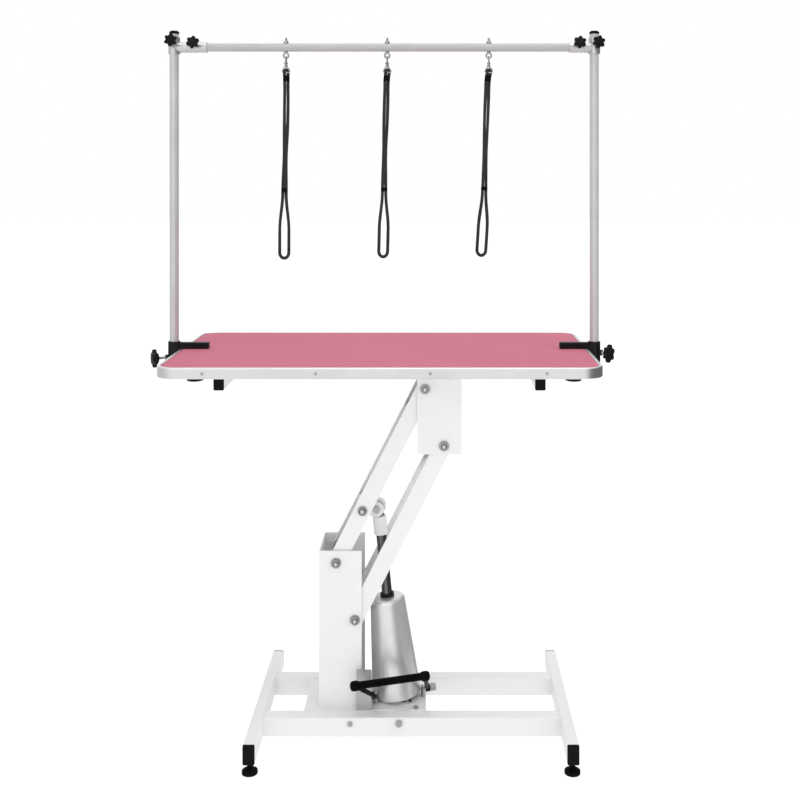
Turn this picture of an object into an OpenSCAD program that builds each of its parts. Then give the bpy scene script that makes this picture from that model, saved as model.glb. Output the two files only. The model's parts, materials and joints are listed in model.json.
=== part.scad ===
// Hydraulic lifting grooming table: H-shaped base, two-bar lifting arms on a
// column, foot-pumped ram, padded top and an overhead arm with three nooses.
// Origin on the floor under the middle of the tabletop. +X to the right, +Y to
// the back, +Z up. The table stands near the top of its travel.

/* [Base] */
// Distance of the middle of the base from the middle of the top
base_x = 78; // [60:1:100]
// Width over the outside of the two floor rails
base_w = 840; // [800:1:880]
// Length of a floor rail without its end caps
rail_len = 526; // [500:1:560]
// Width of a floor rail
rail_w = 30; // [28:1:32]
// Height of the rails and beams
rail_h = 50; // [46:1:52]
// Height of the underside of the rails above the floor
rail_z = 30; // [26:1:34]
// Depth of a cross beam
beam_d = 40; // [36:1:44]
// Distance of each beam's middle from the table's middle
beam_y = 111; // [108:1:120]
// Wall of the base tubes
tube_t = 2; // [1.5:0.5:3]

/* [Column] */
// Left side of the column channel
col_left = -171; // [-175:1:-165]
// Right, open side of the column channel
col_right = -57; // [-60:1:-50]
// Top edge of the column
col_top = 497; // [490:1:505]
// Half depth of the column and of the top bracket, outside
plate_y = 76; // [75:0.5:80]
// Thickness of the column and bracket plates
plate_t = 4; // [3:0.5:4]

/* [Lift arms] */
// Angle of the arms above the horizontal in this position
arm_angle = 62.9; // [55:0.1:64]
// Distance between the pivots of one arm
arm_len = 521.6; // [500:0.1:530]
// Width of an arm bar
arm_w = 44; // [40:1:46]
// Inner face of an arm bar, from the middle plane
bar_inner = 55; // [54:0.5:57]
// Outer face of an arm bar, from the middle plane
bar_outer = 70; // [68:0.5:70]
// Pivot pin radius
pin_r = 8; // [7:0.5:9]
// Upper arm pivot on the column, x
upper_pivot_x = -125.5; // [-130:0.5:-120]
// Upper arm pivot on the column, z
upper_pivot_z = 465; // [460:1:470]
// Lower arm pivot on the column, x
lower_pivot_x = -75; // [-80:0.5:-70]
// Lower arm pivot on the column, z
lower_pivot_z = 313; // [308:1:318]

/* [Pump] */
// Pump pivot on the base, x
pump_x = 33; // [30:1:36]
// Pump pivot height
pump_z = 98; // [97:0.5:100]
// Middle of the eye on the rod head, x
eye_x = -16; // [-20:0.5:-12]
// Middle of the eye on the rod head, z
eye_z = 595.3; // [590:0.1:600]
// Rod radius
rod_r = 14; // [12:0.5:15]
// Radius of the conical cover at its foot
cover_foot_r = 66; // [62:1:66]
// Radius of the conical cover at its shoulder
cover_top_r = 47.5; // [44:0.5:50]

/* [Tabletop] */
// Length of the top
top_len = 1116; // [1060:1:1140]
// Depth of the top
top_depth = 600; // [580:5:620]
// Height of the top edge of the rim
top_z = 1026; // [1020:1:1030]
// Height of the rim
rim_h = 28; // [26:1:30]
// Corner radius of the rim
corner_r = 50; // [40:1:70]

/* [Overhead arm] */
// Distance of each post from the middle
post_x = 575; // [572:1:600]
// Post radius
post_r = 12.5; // [12:0.5:14]
// Top of the post tubes
post_top = 1886; // [1870:1:1900]
// Crossbar height
bar_z = 1849; // [1845:1:1850]
// Crossbar radius
bar_r = 11.25; // [11:0.25:12]

/* [Nooses] */
// Where the three nooses hang along the crossbar
noose_x = [-269, 8, 286]; // [-400:1:400]
// Bottom of the nooses
noose_z = 1272; // [1265:1:1300]
// Half width of a noose loop at its widest
noose_half_w = 17.5; // [15:0.5:20]

/* [Hidden] */
$fn = 48;

fit = 0.05;      // close clearance between pieces
play = 0.1;      // looser clearance
cut_y = 100;     // half length of the cutters that pass through front to back
steel = [0.72, 0.73, 0.74];
white = [0.94, 0.94, 0.95];
black = [0.07, 0.07, 0.07];

rail_x = base_w / 2 - rail_w / 2;    // rail middle from base middle
rail_mid_z = rail_z + rail_h / 2;
rail_top = rail_z + rail_h;
beam_inner = beam_y - beam_d / 2;    // inner face of a beam
inner_y = plate_y - plate_t;         // inner face of a column plate

// Points on the lift arms and the ram are [x, z]
arm_dir = [cos(arm_angle), sin(arm_angle)];
arm_span = arm_len * arm_dir;
upper_pivot = [upper_pivot_x, upper_pivot_z];
lower_pivot = [lower_pivot_x, lower_pivot_z];
lug_offset = 154 * arm_dir;          // lug bolt from the upper arm pivot
lug_bolt = upper_pivot + lug_offset;
rod_pin = [-20, 592];                // pin held by the lugs
pump_pivot = [pump_x, pump_z];
lean = atan2(pump_x - eye_x, eye_z - pump_z);  // ram leans to the column
ram_len = norm([pump_x - eye_x, eye_z - pump_z]);

board_top = top_z - 4;
board_bot = top_z - rim_h + 3;
frame_h = 36;                        // tubes under the board
frame_w = 25;
frame_bot = board_bot - frame_h;

// Box from three [from, to] ranges
module box(x, y, z)
  translate([x[0], y[0], z[0]]) cube([x[1] - x[0], y[1] - y[0], z[1] - z[0]]);

// Cylinders along one axis; at = place on the other two axes
module cyl_x(r, from, to, at)
  translate([from, at[0], at[1]]) rotate([0, 90, 0]) cylinder(r = r, h = to - from);
module cyl_y(r, from, to, at)
  translate([at[0], from, at[1]]) rotate([-90, 0, 0]) cylinder(r = r, h = to - from);
module cyl_z(r, from, to, at = [0, 0])
  translate([at[0], at[1], from]) cylinder(r = r, h = to - from);
module hex_y(r, from, to, at) cyl_y(r, from, to, at, $fn = 6);
module hex_z(r, from, to, at = [0, 0]) cyl_z(r, from, to, at, $fn = 6);

// Plane shape in x and z, given thickness along y
module extrude_y(from, to)
  translate([0, to, 0]) rotate([90, 0, 0]) linear_extrude(to - from) children();

module both_sides() {
  children();
  mirror([0, 1, 0]) children();
}

module rounded_rect(w, h, r) {
  square([w - 2 * r, h], center = true);
  square([w, h - 2 * r], center = true);
  for (i = [-1, 1], j = [-1, 1]) translate([i * (w / 2 - r), j * (h / 2 - r)]) circle(r);
}

module tube_section(w, h) difference() {
  rounded_rect(w, h, 3);
  rounded_rect(w - 2 * tube_t, h - 2 * tube_t, max(3 - tube_t, 0.8));
}
module tube_x(from, to, y, z, w, h)
  translate([from, y, z]) rotate([90, 0, 90]) linear_extrude(to - from) tube_section(w, h);
module tube_y(from, to, x, z, w, h)
  translate([x, to, z]) rotate([90, 0, 0]) linear_extrude(to - from) tube_section(w, h);

// Cap of a w by h tube, facing local +z: flange outside, hollow plug inside
module end_cap(w, h, flange, corner, thick, plug) {
  linear_extrude(thick) rounded_rect(flange[0], flange[1], corner);
  translate([0, 0, -plug]) linear_extrude(plug) difference() {
    rounded_rect(w - 4.2, h - 4.2, 1);
    rounded_rect(w - 8, h - 8, 1);
  }
}

// Round bar between two points
module bar_between(start, end, r) {
  run = end - start;
  translate(start) rotate([0, acos(run[2] / norm(run)), atan2(run[1], run[0])])
    cylinder(r = r, h = norm(run));
}

// Flat link with round ends
module link_2d(start, end, r) {
  run = end - start;
  translate(start) circle(r);
  translate(end) circle(r);
  translate(start) rotate(atan2(run[1], run[0])) translate([0, -r]) square([norm(run), 2 * r]);
}

// Bolt along y: head in front, nut behind, washer = [radius, thickness]
module cross_bolt(at, half, shank_r, overhang, washer, hex_r, head_h, nut_h) {
  seat = half + washer[1];
  cyl_y(shank_r, -half - overhang, half + overhang, at);
  both_sides() cyl_y(washer[0], half + fit, seat, at);
  hex_y(hex_r, -seat - head_h, -seat, at);
  hex_y(hex_r, seat, seat + nut_h, at);
}
module pivot_bolt(at) cross_bolt(at, half = plate_y, shank_r = pin_r, overhang = 3,
  washer = [14, 2.5], hex_r = 11.5, head_h = 6.5, nut_h = 8.5);

// ---------------------------------------------------------------- base
foot_y = rail_len / 2 - 17;
pan_left = -209;                     // base plate with its turned-down skirt
pan_right = 114;
pan_under = rail_top - 5;
skirt_t = 4;
skirt_z = rail_z + 6;
skirt_y = beam_inner - skirt_t;      // inner face of the skirt

// Vertical bolt places, [x, y]
column_bolt_at = [for (x = [-150, -80], y = [-55, 55]) [x, y]];
mount_bolt_at = [for (y = [-45, 45], x = [pump_x - 30, pump_x + 30]) [x, y]];
end_bolt_at = [for (y = [-80, 80]) [88, y]];

// Bolts through the beams:
// [x, z], shank radius, head radius, head height, nut radius, nut height
beam_bolt_rows = [
  [[-84, rail_z + 34], 4, 6.5, 4, 7.5, 7],
  [[44, rail_z + 36], 5, 9, 5, 8.5, 8]];

module base_holes(places, r) for (p = places) cyl_z(r, rail_z, 100, p);
module beam_bolt_holes(from, to)
  for (b = beam_bolt_rows) cyl_y(b[1] + 0.2, from, to, b[0]);

module foot_rails() color(white)
  for (s = [-1, 1]) difference() {
    tube_y(-rail_len / 2, rail_len / 2, base_x + s * rail_x, rail_mid_z, rail_w, rail_h);
    for (j = [-1, 1])
      cyl_z(5.6, rail_z - 1, rail_z + tube_t + 1, [base_x + s * rail_x, j * foot_y]);
  }

module cross_beams() color(white)
  for (j = [-1, 1]) difference() {
    tube_x(base_x - base_w / 2 + rail_w, base_x + base_w / 2 - rail_w,
      j * beam_y, rail_mid_z, beam_d, rail_h);
    beam_bolt_holes(j * beam_y - 30, j * beam_y + 30);
  }

module base_plate() color(white) difference() {
  union() {
    box([pan_left, pan_right], [-beam_inner, beam_inner], [pan_under, rail_top]);
    both_sides() box([pan_left, pan_right], [-beam_inner, -skirt_y], [skirt_z, pan_under]);
    for (x = [pan_left, pan_right - skirt_t])
      box([x, x + skirt_t], [-skirt_y, skirt_y], [skirt_z, pan_under]);
  }
  base_holes(column_bolt_at, 5.1);
  base_holes(mount_bolt_at, 4.1);
  base_holes(end_bolt_at, 3.1);
  beam_bolt_holes(-cut_y, cut_y);
}

module column() color(white) difference() {
  back = col_left + plate_t;
  union() {
    both_sides() box([col_left, col_right], [-plate_y, -inner_y], [rail_top, col_top]);
    box([col_left, back], [-inner_y, inner_y], [rail_top, col_top]);
    box([back, col_right], [-inner_y, inner_y], [rail_top, rail_top + 6]);
    box([back, col_right - 60], [-inner_y, inner_y], [200, 204]);
  }
  for (p = [upper_pivot, lower_pivot]) cyl_y(pin_r + play, -cut_y, cut_y, p);
  base_holes(column_bolt_at, 5.1);
}

module rail_end_caps() color(black)
  for (s = [-1, 1]) both_sides()
    translate([base_x + s * rail_x, -rail_len / 2, rail_mid_z]) rotate([90, 0, 0])
      end_cap(rail_w, rail_h, flange = [rail_w, rail_h], corner = 3.5, thick = 4, plug = 5.5);

module foot_nuts() color(steel)
  for (s = [-1, 1], j = [-1, 1]) difference() {
    at = [base_x + s * rail_x, j * foot_y];
    hex_z(10.5, rail_z + tube_t, rail_z + tube_t + 12, at);
    cyl_z(5.05, rail_z, rail_z + 20, at);
  }

// Bolts down through the base plate; each part is [radius, from, to] above the plate
module base_bolts(places, shank, head, nut)
  for (p = places) translate([0, 0, rail_top]) {
    cyl_z(shank[0], shank[1], shank[2], p);
    for (h = [head, nut]) hex_z(h[0], h[1], h[2], p);
  }
module column_bolts() color(steel) {
  base_bolts(column_bolt_at, shank = [5, -15, 8], head = [9, 6, 13], nut = [9, -13, -5]);
  base_bolts(end_bolt_at, shank = [3, -13, 3], head = [6.5, 0, 5.5], nut = [6, -11, -5]);
  base_bolts(mount_bolt_at, shank = [4, -14, 6], head = [7, 4, 9], nut = [7, -11, -5]);
}

module beam_bolts() color(steel) both_sides()
  for (b = beam_bolt_rows) {
    outer = -beam_y - beam_d / 2;
    nut_end = -skirt_y + b[5];
    cyl_y(b[1], -beam_y - 22, nut_end + 1, b[0]);
    cyl_y(b[2], outer - b[3], outer, b[0]);
    hex_y(b[4], -skirt_y, nut_end, b[0]);
  }

module pedal_stop_bracket() color([0.66, 0.67, 0.68]) {
  box([-70, -30], [-90, -86.5], [rail_top, 186]);
  box([-70, -30], [-86.5, -77], [rail_top, rail_top + 3]);
}

// Pedal pivot line, turned about z from the x axis
pedal_turn = 17;
pedal_pivot = [42, -30, 100];
pedal_dir = [cos(pedal_turn), sin(pedal_turn), 0];
pedal_pin_r = 5;
ear_x = 66.5;                        // ears along the pivot line
module on_pedal_line() translate(pedal_pivot) rotate(pedal_turn) children();

module pedal_ear(side) on_pedal_line() difference() {
  x = side * ear_x;
  union() {
    translate([x, 0, 0]) rotate([0, 90, 0]) cylinder(r = 10, h = 5, center = true);
    box([x - 2.5, x + 2.5], [-10, 10], [rail_top - pedal_pivot[2], 0]);
  }
  translate([x, 0, 0]) rotate([0, 90, 0]) cylinder(r = pedal_pin_r + fit, h = 9, center = true);
}

module pump_mount() color([0.8, 0.8, 0.81]) {
  difference() {
    union() {
      box([pump_x - 42, pump_x + 42], [-56, 56], [rail_top, rail_top + 4]);
      both_sides() {
        cyl_y(10, 20, 26, pump_pivot);
        box([pump_x - 14, pump_x + 14], [20, 26], [rail_top + 4, pump_z]);
      }
    }
    cyl_y(6.05, -60, 60, pump_pivot);
    base_holes(mount_bolt_at, 4.1);
  }
  for (side = [-1, 1]) pedal_ear(side);
}

// Pedal pin along local z with a washer and a hexagon at its outer end
module pedal_pin(washer_z, hex_r, hex_h) {
  cyl_z(pedal_pin_r, 64, washer_z + 4.4);
  cyl_z(9, washer_z, washer_z + 2);
  hex_z(hex_r, washer_z + 2, washer_z + 2 + hex_h);
}
module pump_mount_pins() color(steel) {
  cyl_y(6, -29, 29, pump_pivot);
  both_sides() cyl_y(9, 26.2, 30, pump_pivot);
  on_pedal_line() {
    rotate([0, -90, 0]) pedal_pin(washer_z = 81.6, hex_r = 8, hex_h = 5);
    rotate([0, 90, 0]) {
      pedal_pin(washer_z = 85.6, hex_r = 11, hex_h = 14);
      cyl_z(8, 69.1, 73.3);          // spacer
    }
  }
}

module column_pivot_pins() color(steel) for (p = [upper_pivot, lower_pivot]) pivot_bolt(p);

module levelling_foot(side, end) color(black)
  translate([base_x + side * rail_x, end * foot_y, 0]) {
    cyl_z(20, 0, 7);
    translate([0, 0, 7]) cylinder(r1 = 20, r2 = 11, h = 5);
    cyl_z(9, 12, 15);
    cyl_z(5, 12, 58);
    hex_z(9, 21, rail_z - 0.3);
  }
module foot_front_left() levelling_foot(-1, -1);
module foot_front_right() levelling_foot(1, -1);
module foot_rear_left() levelling_foot(-1, 1);
module foot_rear_right() levelling_foot(1, 1);

// ---------------------------------------------------------------- arms
boss_r = 15;
bush_r = 10;
lug_bolt_r = 8;
rod_pin_r = 7;

// One bar, hollowed from its inner face, with its lower pivot at the origin
module arm_bar(has_lug) difference() {
  ends = [[0, 0], arm_span];
  lug = has_lug ? [lug_offset] : [];
  union() {
    difference() {
      extrude_y(bar_inner, bar_outer)
        rotate(arm_angle) link_2d([0, 0], [arm_len, 0], arm_w / 2);
      extrude_y(bar_inner - 1, bar_outer - 3)
        rotate(arm_angle) link_2d([0, 0], [arm_len, 0], arm_w / 2 - 3);
    }
    for (p = concat(ends, lug)) cyl_y(boss_r, bar_inner, bar_outer - 1, p);
  }
  for (p = ends) cyl_y(bush_r + 0.02, bar_inner - 5, bar_outer + 5, p);
  for (p = lug) cyl_y(lug_bolt_r + play, bar_inner - 5, bar_outer + 5, p);
}

// Two bars joined by a cross tube
module arm(pivot, has_lug) color(white) translate([pivot[0], 0, pivot[1]]) {
  both_sides() arm_bar(has_lug);
  difference() {
    cyl_y(15, -bar_outer + 3, bar_outer - 3, 0.84 * arm_span);
    cyl_y(12, -bar_outer, bar_outer, 0.84 * arm_span);
  }
}

module arm_bushes(pivot) color([0.72, 0.6, 0.35]) both_sides()
  for (p = [pivot, pivot + arm_span]) difference() {
    union() {
      cyl_y(bush_r, bar_inner, bar_outer + fit, p);
      cyl_y(13, bar_outer + fit, inner_y - play, p);
    }
    cyl_y(pin_r + fit, 0, 90, p);
  }

module upper_arm() arm(upper_pivot, has_lug = true);
module upper_arm_bushes() arm_bushes(upper_pivot);
module lower_arm() arm(lower_pivot, has_lug = false);
module lower_arm_bushes() arm_bushes(lower_pivot);

module lift_lugs() color(white) both_sides() difference() {
  union() {
    extrude_y(20, 26) link_2d(lug_bolt, rod_pin, 20);
    cyl_y(14, 26, bar_inner - play, lug_bolt);
  }
  cyl_y(lug_bolt_r + play, 0, 80, lug_bolt);
  cyl_y(rod_pin_r + fit, 0, 80, rod_pin);
}

module lift_lug_pins() color(steel) {
  cross_bolt(lug_bolt, half = bar_outer, shank_r = lug_bolt_r, overhang = 4,
    washer = [13, 2], hex_r = 11, head_h = 6, nut_h = 7);
  cyl_y(rod_pin_r, -30, 30, rod_pin);
  both_sides() cyl_y(9.5, 26.1, 32, rod_pin);
}

// ---------------------------------------------------------------- top
bracket_left = 91;
bracket_right = 210;
bracket_bot = 755;
bracket_top = frame_bot - 6;         // underside of its top plate
bracket_pivots = [upper_pivot + arm_span, lower_pivot + arm_span];

module platform_bracket() color(white) difference() {
  union() {
    both_sides()
      box([bracket_left, bracket_right], [inner_y, plate_y], [bracket_bot, bracket_top]);
    box([bracket_right - plate_t, bracket_right], [-inner_y, inner_y],
      [bracket_bot, bracket_top]);
    box([60, 240], [-90, 90], [bracket_top, frame_bot]);
  }
  for (p = bracket_pivots) cyl_y(pin_r + play, -cut_y, cut_y, p);
}
module platform_pivot_pins() color(steel) for (p = bracket_pivots) pivot_bolt(p);

frame_x = 400;                       // middle of the tubes that run front to back
frame_len = 540;
frame_mid_z = frame_bot + frame_h / 2;
rivet_x = [-436, -156, 126, 414];

// Cylinders at the screws that hold the board to the frame
module at_screws(r, from, to)
  for (s = [-1, 1], y = [-220, -130, 130, 220]) cyl_z(r, from, to, [s * frame_x, y]);
// Cylinders at the rim rivets, from and to measured inwards from the rim's face
module at_rivets(r, from, to)
  for (x = rivet_x) both_sides()
    cyl_y(r, -top_depth / 2 + from, -top_depth / 2 + to, [x, top_z - rim_h / 2]);

module table_frame() color(white) difference() {
  reach = frame_x - frame_w / 2;
  union() {
    for (s = [-1, 1])
      tube_y(-frame_len / 2, frame_len / 2, s * frame_x, frame_mid_z, frame_w, frame_h);
    for (j = [-1, 1]) tube_x(-reach, reach, j * 60, frame_mid_z, frame_w, frame_h);
  }
  at_screws(2.8, frame_bot - 5, board_bot + 5);
}

module frame_end_caps() color(black)
  for (s = [-1, 1]) both_sides()
    translate([s * frame_x, -frame_len / 2, frame_mid_z]) rotate([90, 0, 0])
      end_cap(frame_w, frame_h, flange = [frame_w + 1, frame_h - 0.5],
        corner = 3, thick = 3, plug = 12);

module table_screws() color(steel) {
  at_screws(2.5, frame_bot - 1, board_bot + 14);
  at_screws(6, frame_bot - 3, frame_bot - fit);
}

// Slab with the outline of the top, set in from the rim's outer face
module top_slab(inset, from, thick)
  translate([0, 0, from]) linear_extrude(thick)
    rounded_rect(top_len - 2 * inset, top_depth - 2 * inset, corner_r - inset);

module tabletop_board() color([0.72, 0.6, 0.45]) difference() {
  top_slab(3.2, board_bot, board_top - board_bot);
  at_screws(2.55, board_bot - 1, board_bot + 15);
  at_rivets(2.6, 0, 16);
}
module rubber_mat() color([0.84, 0.42, 0.5]) top_slab(9.2, board_top, 3.3);

// Rim section: distance inwards from the outer face, height
rim_section = concat(
  [for (a = [0:15:90]) [4 - 4 * cos(a), top_z - 4 + 4 * sin(a)]],
  [[8, top_z], [9, top_z - 1], [9, board_top + 0.1],
   [3, board_top + 0.1], [3, board_bot - 0.1], [12, board_bot - 0.1],
   [12, top_z - rim_h], [2, top_z - rim_h], [0, top_z - rim_h + 2]]);
module rim_run(len)
  rotate([90, 0, 0]) translate([0, 0, -len / 2]) linear_extrude(len) polygon(rim_section);
module table_rim() color([0.86, 0.88, 0.87]) difference() {
  union() {
    for (i = [0, 1]) {
      mirror([i, 0, 0]) translate([-top_len / 2, 0, 0]) rim_run(top_depth - 2 * corner_r);
      mirror([0, i, 0]) translate([0, -top_depth / 2, 0]) rotate(90)
        rim_run(top_len - 2 * corner_r);
    }
    for (i = [0, 1], j = [0, 1]) mirror([i, 0, 0]) mirror([0, j, 0])
      translate([top_len / 2 - corner_r, top_depth / 2 - corner_r, 0])
        rotate_extrude(angle = 90, $fn = 96)
          polygon([for (p = rim_section) [corner_r - p[0], p[1]]]);
  }
  at_rivets(2.5, -1, 6);
}

module rim_rivets() color(steel) {
  at_rivets(2.4, -1, 14);
  at_rivets(4, -1.6, -fit);
}

// ---------------------------------------------------------------- clamps
clamp_bot = 962;
clamp_top = top_z + 16;
finger_x = 480;                      // inner end of the finger over the top
screw_x = 518;
screw_r = 6;
knob_screw_r = 4;
knob_boss_r = 8;
// Clamp knobs: direction about z, distance from the post's middle, height
left_knob = [208, 54, 1002];
right_knob = [-40, 46, 1016];

module clamp_knob_axis(x, angle, z) translate([x, 0, z]) rotate([0, 90, angle]) children();

module post_clamp(knob_angle, knob_z) difference() {
  union() {
    cyl_z(16.4, 975, top_z + 19, [post_x, 0]);
    box([top_len / 2 + 1.5, post_x], [-15, 15], [clamp_bot, clamp_top]);
    box([finger_x, post_x - 8], [-10, 10], [top_z, clamp_top]);
    box([screw_x - 14, top_len / 2 + 6], [-14, 14], [clamp_bot, clamp_bot + 12]);
    clamp_knob_axis(post_x, knob_angle, knob_z) cylinder(r = knob_boss_r, h = 24);
  }
  cyl_z(post_r + fit, 900, 1100, [post_x, 0]);
  cyl_z(screw_r + fit, 950, 980, [screw_x, 0]);
  clamp_knob_axis(post_x, knob_angle, knob_z) cylinder(r = knob_screw_r + fit, h = 80);
}
module post_clamps() color(black) {
  post_clamp(right_knob[0], right_knob[2]);
  mirror([1, 0, 0]) post_clamp(180 - left_knob[0], left_knob[2]);
}

// Screw with a pad above and a ribbed handwheel below
module clamp_screw() translate([screw_x, 0, 0]) {
  cyl_z(screw_r, 953, 997);
  cyl_z(14, 997, board_bot - fit);
  cyl_z(19, 937, 953);
  for (a = [0:45:315]) cyl_z(4, 938.5, 951.5, 18.5 * [cos(a), sin(a)]);
}
module clamp_screw_right() color(black) clamp_screw();
module clamp_screw_left() color(black) mirror([1, 0, 0]) clamp_screw();

// Star knob on its screw, pointing along local z from the middle of the tube it
// grips; the screw stops just short of the tube
module star_knob(dist, tube_r, scale_xy) translate([0, 0, dist - 6]) {
  tip = dist - 6 - tube_r - 0.2;
  cylinder(r = 11.5 * scale_xy, h = 12);
  for (a = [0:60:300])
    rotate(a) translate([11.2 * scale_xy, 0, 1]) cylinder(r = 5.3 * scale_xy, h = 10);
  cylinder(r = 7.5 * scale_xy, h = 14);
  translate([0, 0, -tip]) cylinder(r = knob_screw_r, h = tip + 1);
}
module clamp_knob(x, knob) color(black)
  clamp_knob_axis(x, knob[0], knob[2]) star_knob(knob[1], post_r, 1.5);
module clamp_knob_right() clamp_knob(post_x, right_knob);
module clamp_knob_left() clamp_knob(-post_x, left_knob);

// ---------------------------------------------------------------- overhead arm
overhead_t = 1.6;                    // wall of the posts and the crossbar

module posts() color([0.78, 0.79, 0.8]) for (s = [-1, 1]) difference() {
  cyl_z(post_r, 984, post_top, [s * post_x, 0]);
  cyl_z(post_r - overhead_t, 980, post_top + 1, [s * post_x, 0]);
}
module post_caps() color(black) for (s = [-1, 1]) translate([s * post_x, 0, post_top]) {
  cyl_z(post_r + 1.2, fit, 5);
  translate([0, 0, 5]) cylinder(r1 = post_r + 1.2, r2 = post_r - 3, h = 3.5);
  cyl_z(post_r - overhead_t - play, -12, 1);
}

corner_knob_dist = 33;
corner_knob_scale = 1.09;
left_bar_knob_x = -518;
right_bar_knob_x = 532;

// The crossbar knobs point to the front and a little upwards
module bar_knob_axis(x) translate([x, 0, bar_z]) rotate([70, 0, 0]) children();
// The post knobs point to the front, each turned a little about the post
module post_knob_axis(side)
  translate([side * post_x, 0, side < 0 ? 1866 : 1861])
    rotate([90, 0, side < 0 ? -4 : 14]) children();

// Post sleeve with a crossbar socket that ends at socket_x
module fitting(side, knob_x, socket_x) difference() {
  x = side * post_x;
  mouth = socket_x - side;           // the bore overshoots the socket by 1
  boss_h = corner_knob_dist - 9;
  union() {
    cyl_z(16, bar_z - 18, 1876, [x, 0]);
    cyl_x(14.5, min(x, socket_x), max(x, socket_x), [0, bar_z]);
    bar_knob_axis(knob_x) cylinder(r = knob_boss_r, h = boss_h);
    post_knob_axis(side) cylinder(r = knob_boss_r, h = boss_h);
  }
  cyl_z(post_r + fit, 1800, 1900, [x, 0]);
  cyl_x(bar_r + fit, min(x, mouth), max(x, mouth), [0, bar_z]);
  bar_knob_axis(knob_x) cylinder(r = knob_screw_r + fit, h = 60);
  post_knob_axis(side) cylinder(r = knob_screw_r + fit, h = 60);
}
module corner_fittings() color([0.85, 0.85, 0.86]) {
  fitting(-1, left_bar_knob_x, socket_x = -485);
  fitting(1, right_bar_knob_x, socket_x = 506);
}

module crossbar() color([0.8, 0.81, 0.82]) difference() {
  cyl_x(bar_r, -556, 556, [0, bar_z]);
  cyl_x(bar_r - overhead_t, -560, 560, [0, bar_z]);
  for (x = noose_x) cyl_z(3.1, bar_z - 20, bar_z + 20, [x, 0]);
}

module bar_knob(x) color(black)
  bar_knob_axis(x) star_knob(corner_knob_dist, bar_r, corner_knob_scale);
module post_knob(side) color(black)
  post_knob_axis(side) star_knob(corner_knob_dist, post_r, corner_knob_scale);
module corner_knob_left_post() post_knob(-1);
module corner_knob_left_bar() bar_knob(left_bar_knob_x);
module corner_knob_right_post() post_knob(1);
module corner_knob_right_bar() bar_knob(right_bar_knob_x);

// ---------------------------------------------------------------- nooses
ring_z = bar_z - 22;                 // middle of the eyebolt's ring
ring_r = 7;
ring_wire = 2.2;
hook_r = 8;
hook_wire = 2;
hook_z = ring_z - ring_r + ring_wire + hook_wire + 0.4 - hook_r;
hook_bot = hook_z - hook_r;

module torus(r, wire) rotate_extrude($fn = 48) translate([r, 0]) circle(wire, $fn = 24);

module eyebolts() color(steel) for (x = noose_x) {
  translate([x, 0, ring_z]) rotate([90, 0, 0]) torus(ring_r, ring_wire);
  cyl_z(3, ring_z + ring_r, bar_z + 26, [x, 0]);
  cyl_z(5.5, ring_z + ring_r + 2, bar_z - bar_r - fit, [x, 0]);
  hex_z(6.5, bar_z + bar_r + fit, bar_z + bar_r + 6, [x, 0]);
}

module snap_hook(x) color(steel) {
  translate([x, 0, hook_z]) rotate([0, 90, 0]) torus(hook_r, hook_wire);
  cyl_z(4.5, hook_bot - 14, hook_bot, [x, 0]);
  cyl_z(2, hook_bot - 18, hook_bot - 13, [x, 0]);
}
module snap_hook_left() snap_hook(noose_x[0]);
module snap_hook_middle() snap_hook(noose_x[1]);
module snap_hook_right() snap_hook(noose_x[2]);

strap_top = hook_bot - 19;
strap_open = 1455;                   // where the two strands part
strap_half_w = 10;                   // half width above that
strand_w = 7.4;
arc_z = noose_z + noose_half_w;      // centre of the round bottom
steps = 40;

function half_w(z) = z >= strap_open ? strap_half_w
  : strap_half_w + (noose_half_w - strap_half_w)
    * (0.5 - 0.5 * cos(180 * min(1, (strap_open - z) / 110)));
// Right edge from top to bottom, then the round bottom, then the left edge
function edge_pts(inset) = [for (i = [0:steps])
  let (z = strap_top - i * (strap_top - arc_z) / steps) [half_w(z) - inset, z]];
function arc_pts(inset) = [for (a = [0:12:180])
  [(noose_half_w - inset) * cos(a), arc_z - (noose_half_w - inset) * sin(a)]];
function loop_pts(inset) = let (edge = edge_pts(inset))
  concat(edge, arc_pts(inset), [for (i = [steps:-1:0]) [-edge[i][0], edge[i][1]]]);

module noose(x) color(black) translate([x, 0, 0]) extrude_y(-3, 3) difference() {
  polygon(loop_pts(0));
  intersection() {
    polygon(loop_pts(strand_w));
    translate([-50, noose_z - 10]) square([100, strap_top - 8 - noose_z + 10]);
  }
}
module noose_left() noose(noose_x[0]);
module noose_middle() noose(noose_x[1]);
module noose_right() noose(noose_x[2]);

// ---------------------------------------------------------------- pump
// Ram frame: origin at the pump pivot, local z along the rod
module ram() translate([pump_x, 0, pump_z]) rotate([0, -lean, 0]) children();
module cross_cyl(r, h) rotate([90, 0, 0]) cylinder(r = r, h = h, center = true);

barrel_r = 30;
barrel_top = 244;
bore_r = 24;
piston_z = 199;
stud_r = 8;                          // rod end through the piston
rod_end = ram_len - 60;
tenon_r = 9;                         // rod end inside the head

// Cover section: radius, height; up the outside, then down the inside
cover_section = [
  [cover_foot_r, -9], [cover_foot_r, -5], [cover_top_r, 241],
  [cover_top_r - 1, 245], [cover_top_r - 3.2, 248.8],
  [cover_top_r - 6.5, 251.4], [cover_top_r - 10.5, 252.4],
  [19.3, 252.4], [19.3, 250.2],
  [cover_top_r - 11, 250.2], [cover_top_r - 7.6, 249.2], [cover_top_r - 4.8, 247],
  [cover_top_r - 3, 243.5], [cover_top_r - 2, 240],
  [cover_foot_r - 2, -5], [cover_foot_r - 2, -9]];
module pump_cover() color([0.8, 0.81, 0.82]) ram()
  rotate_extrude($fn = 96) polygon(cover_section);

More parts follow.
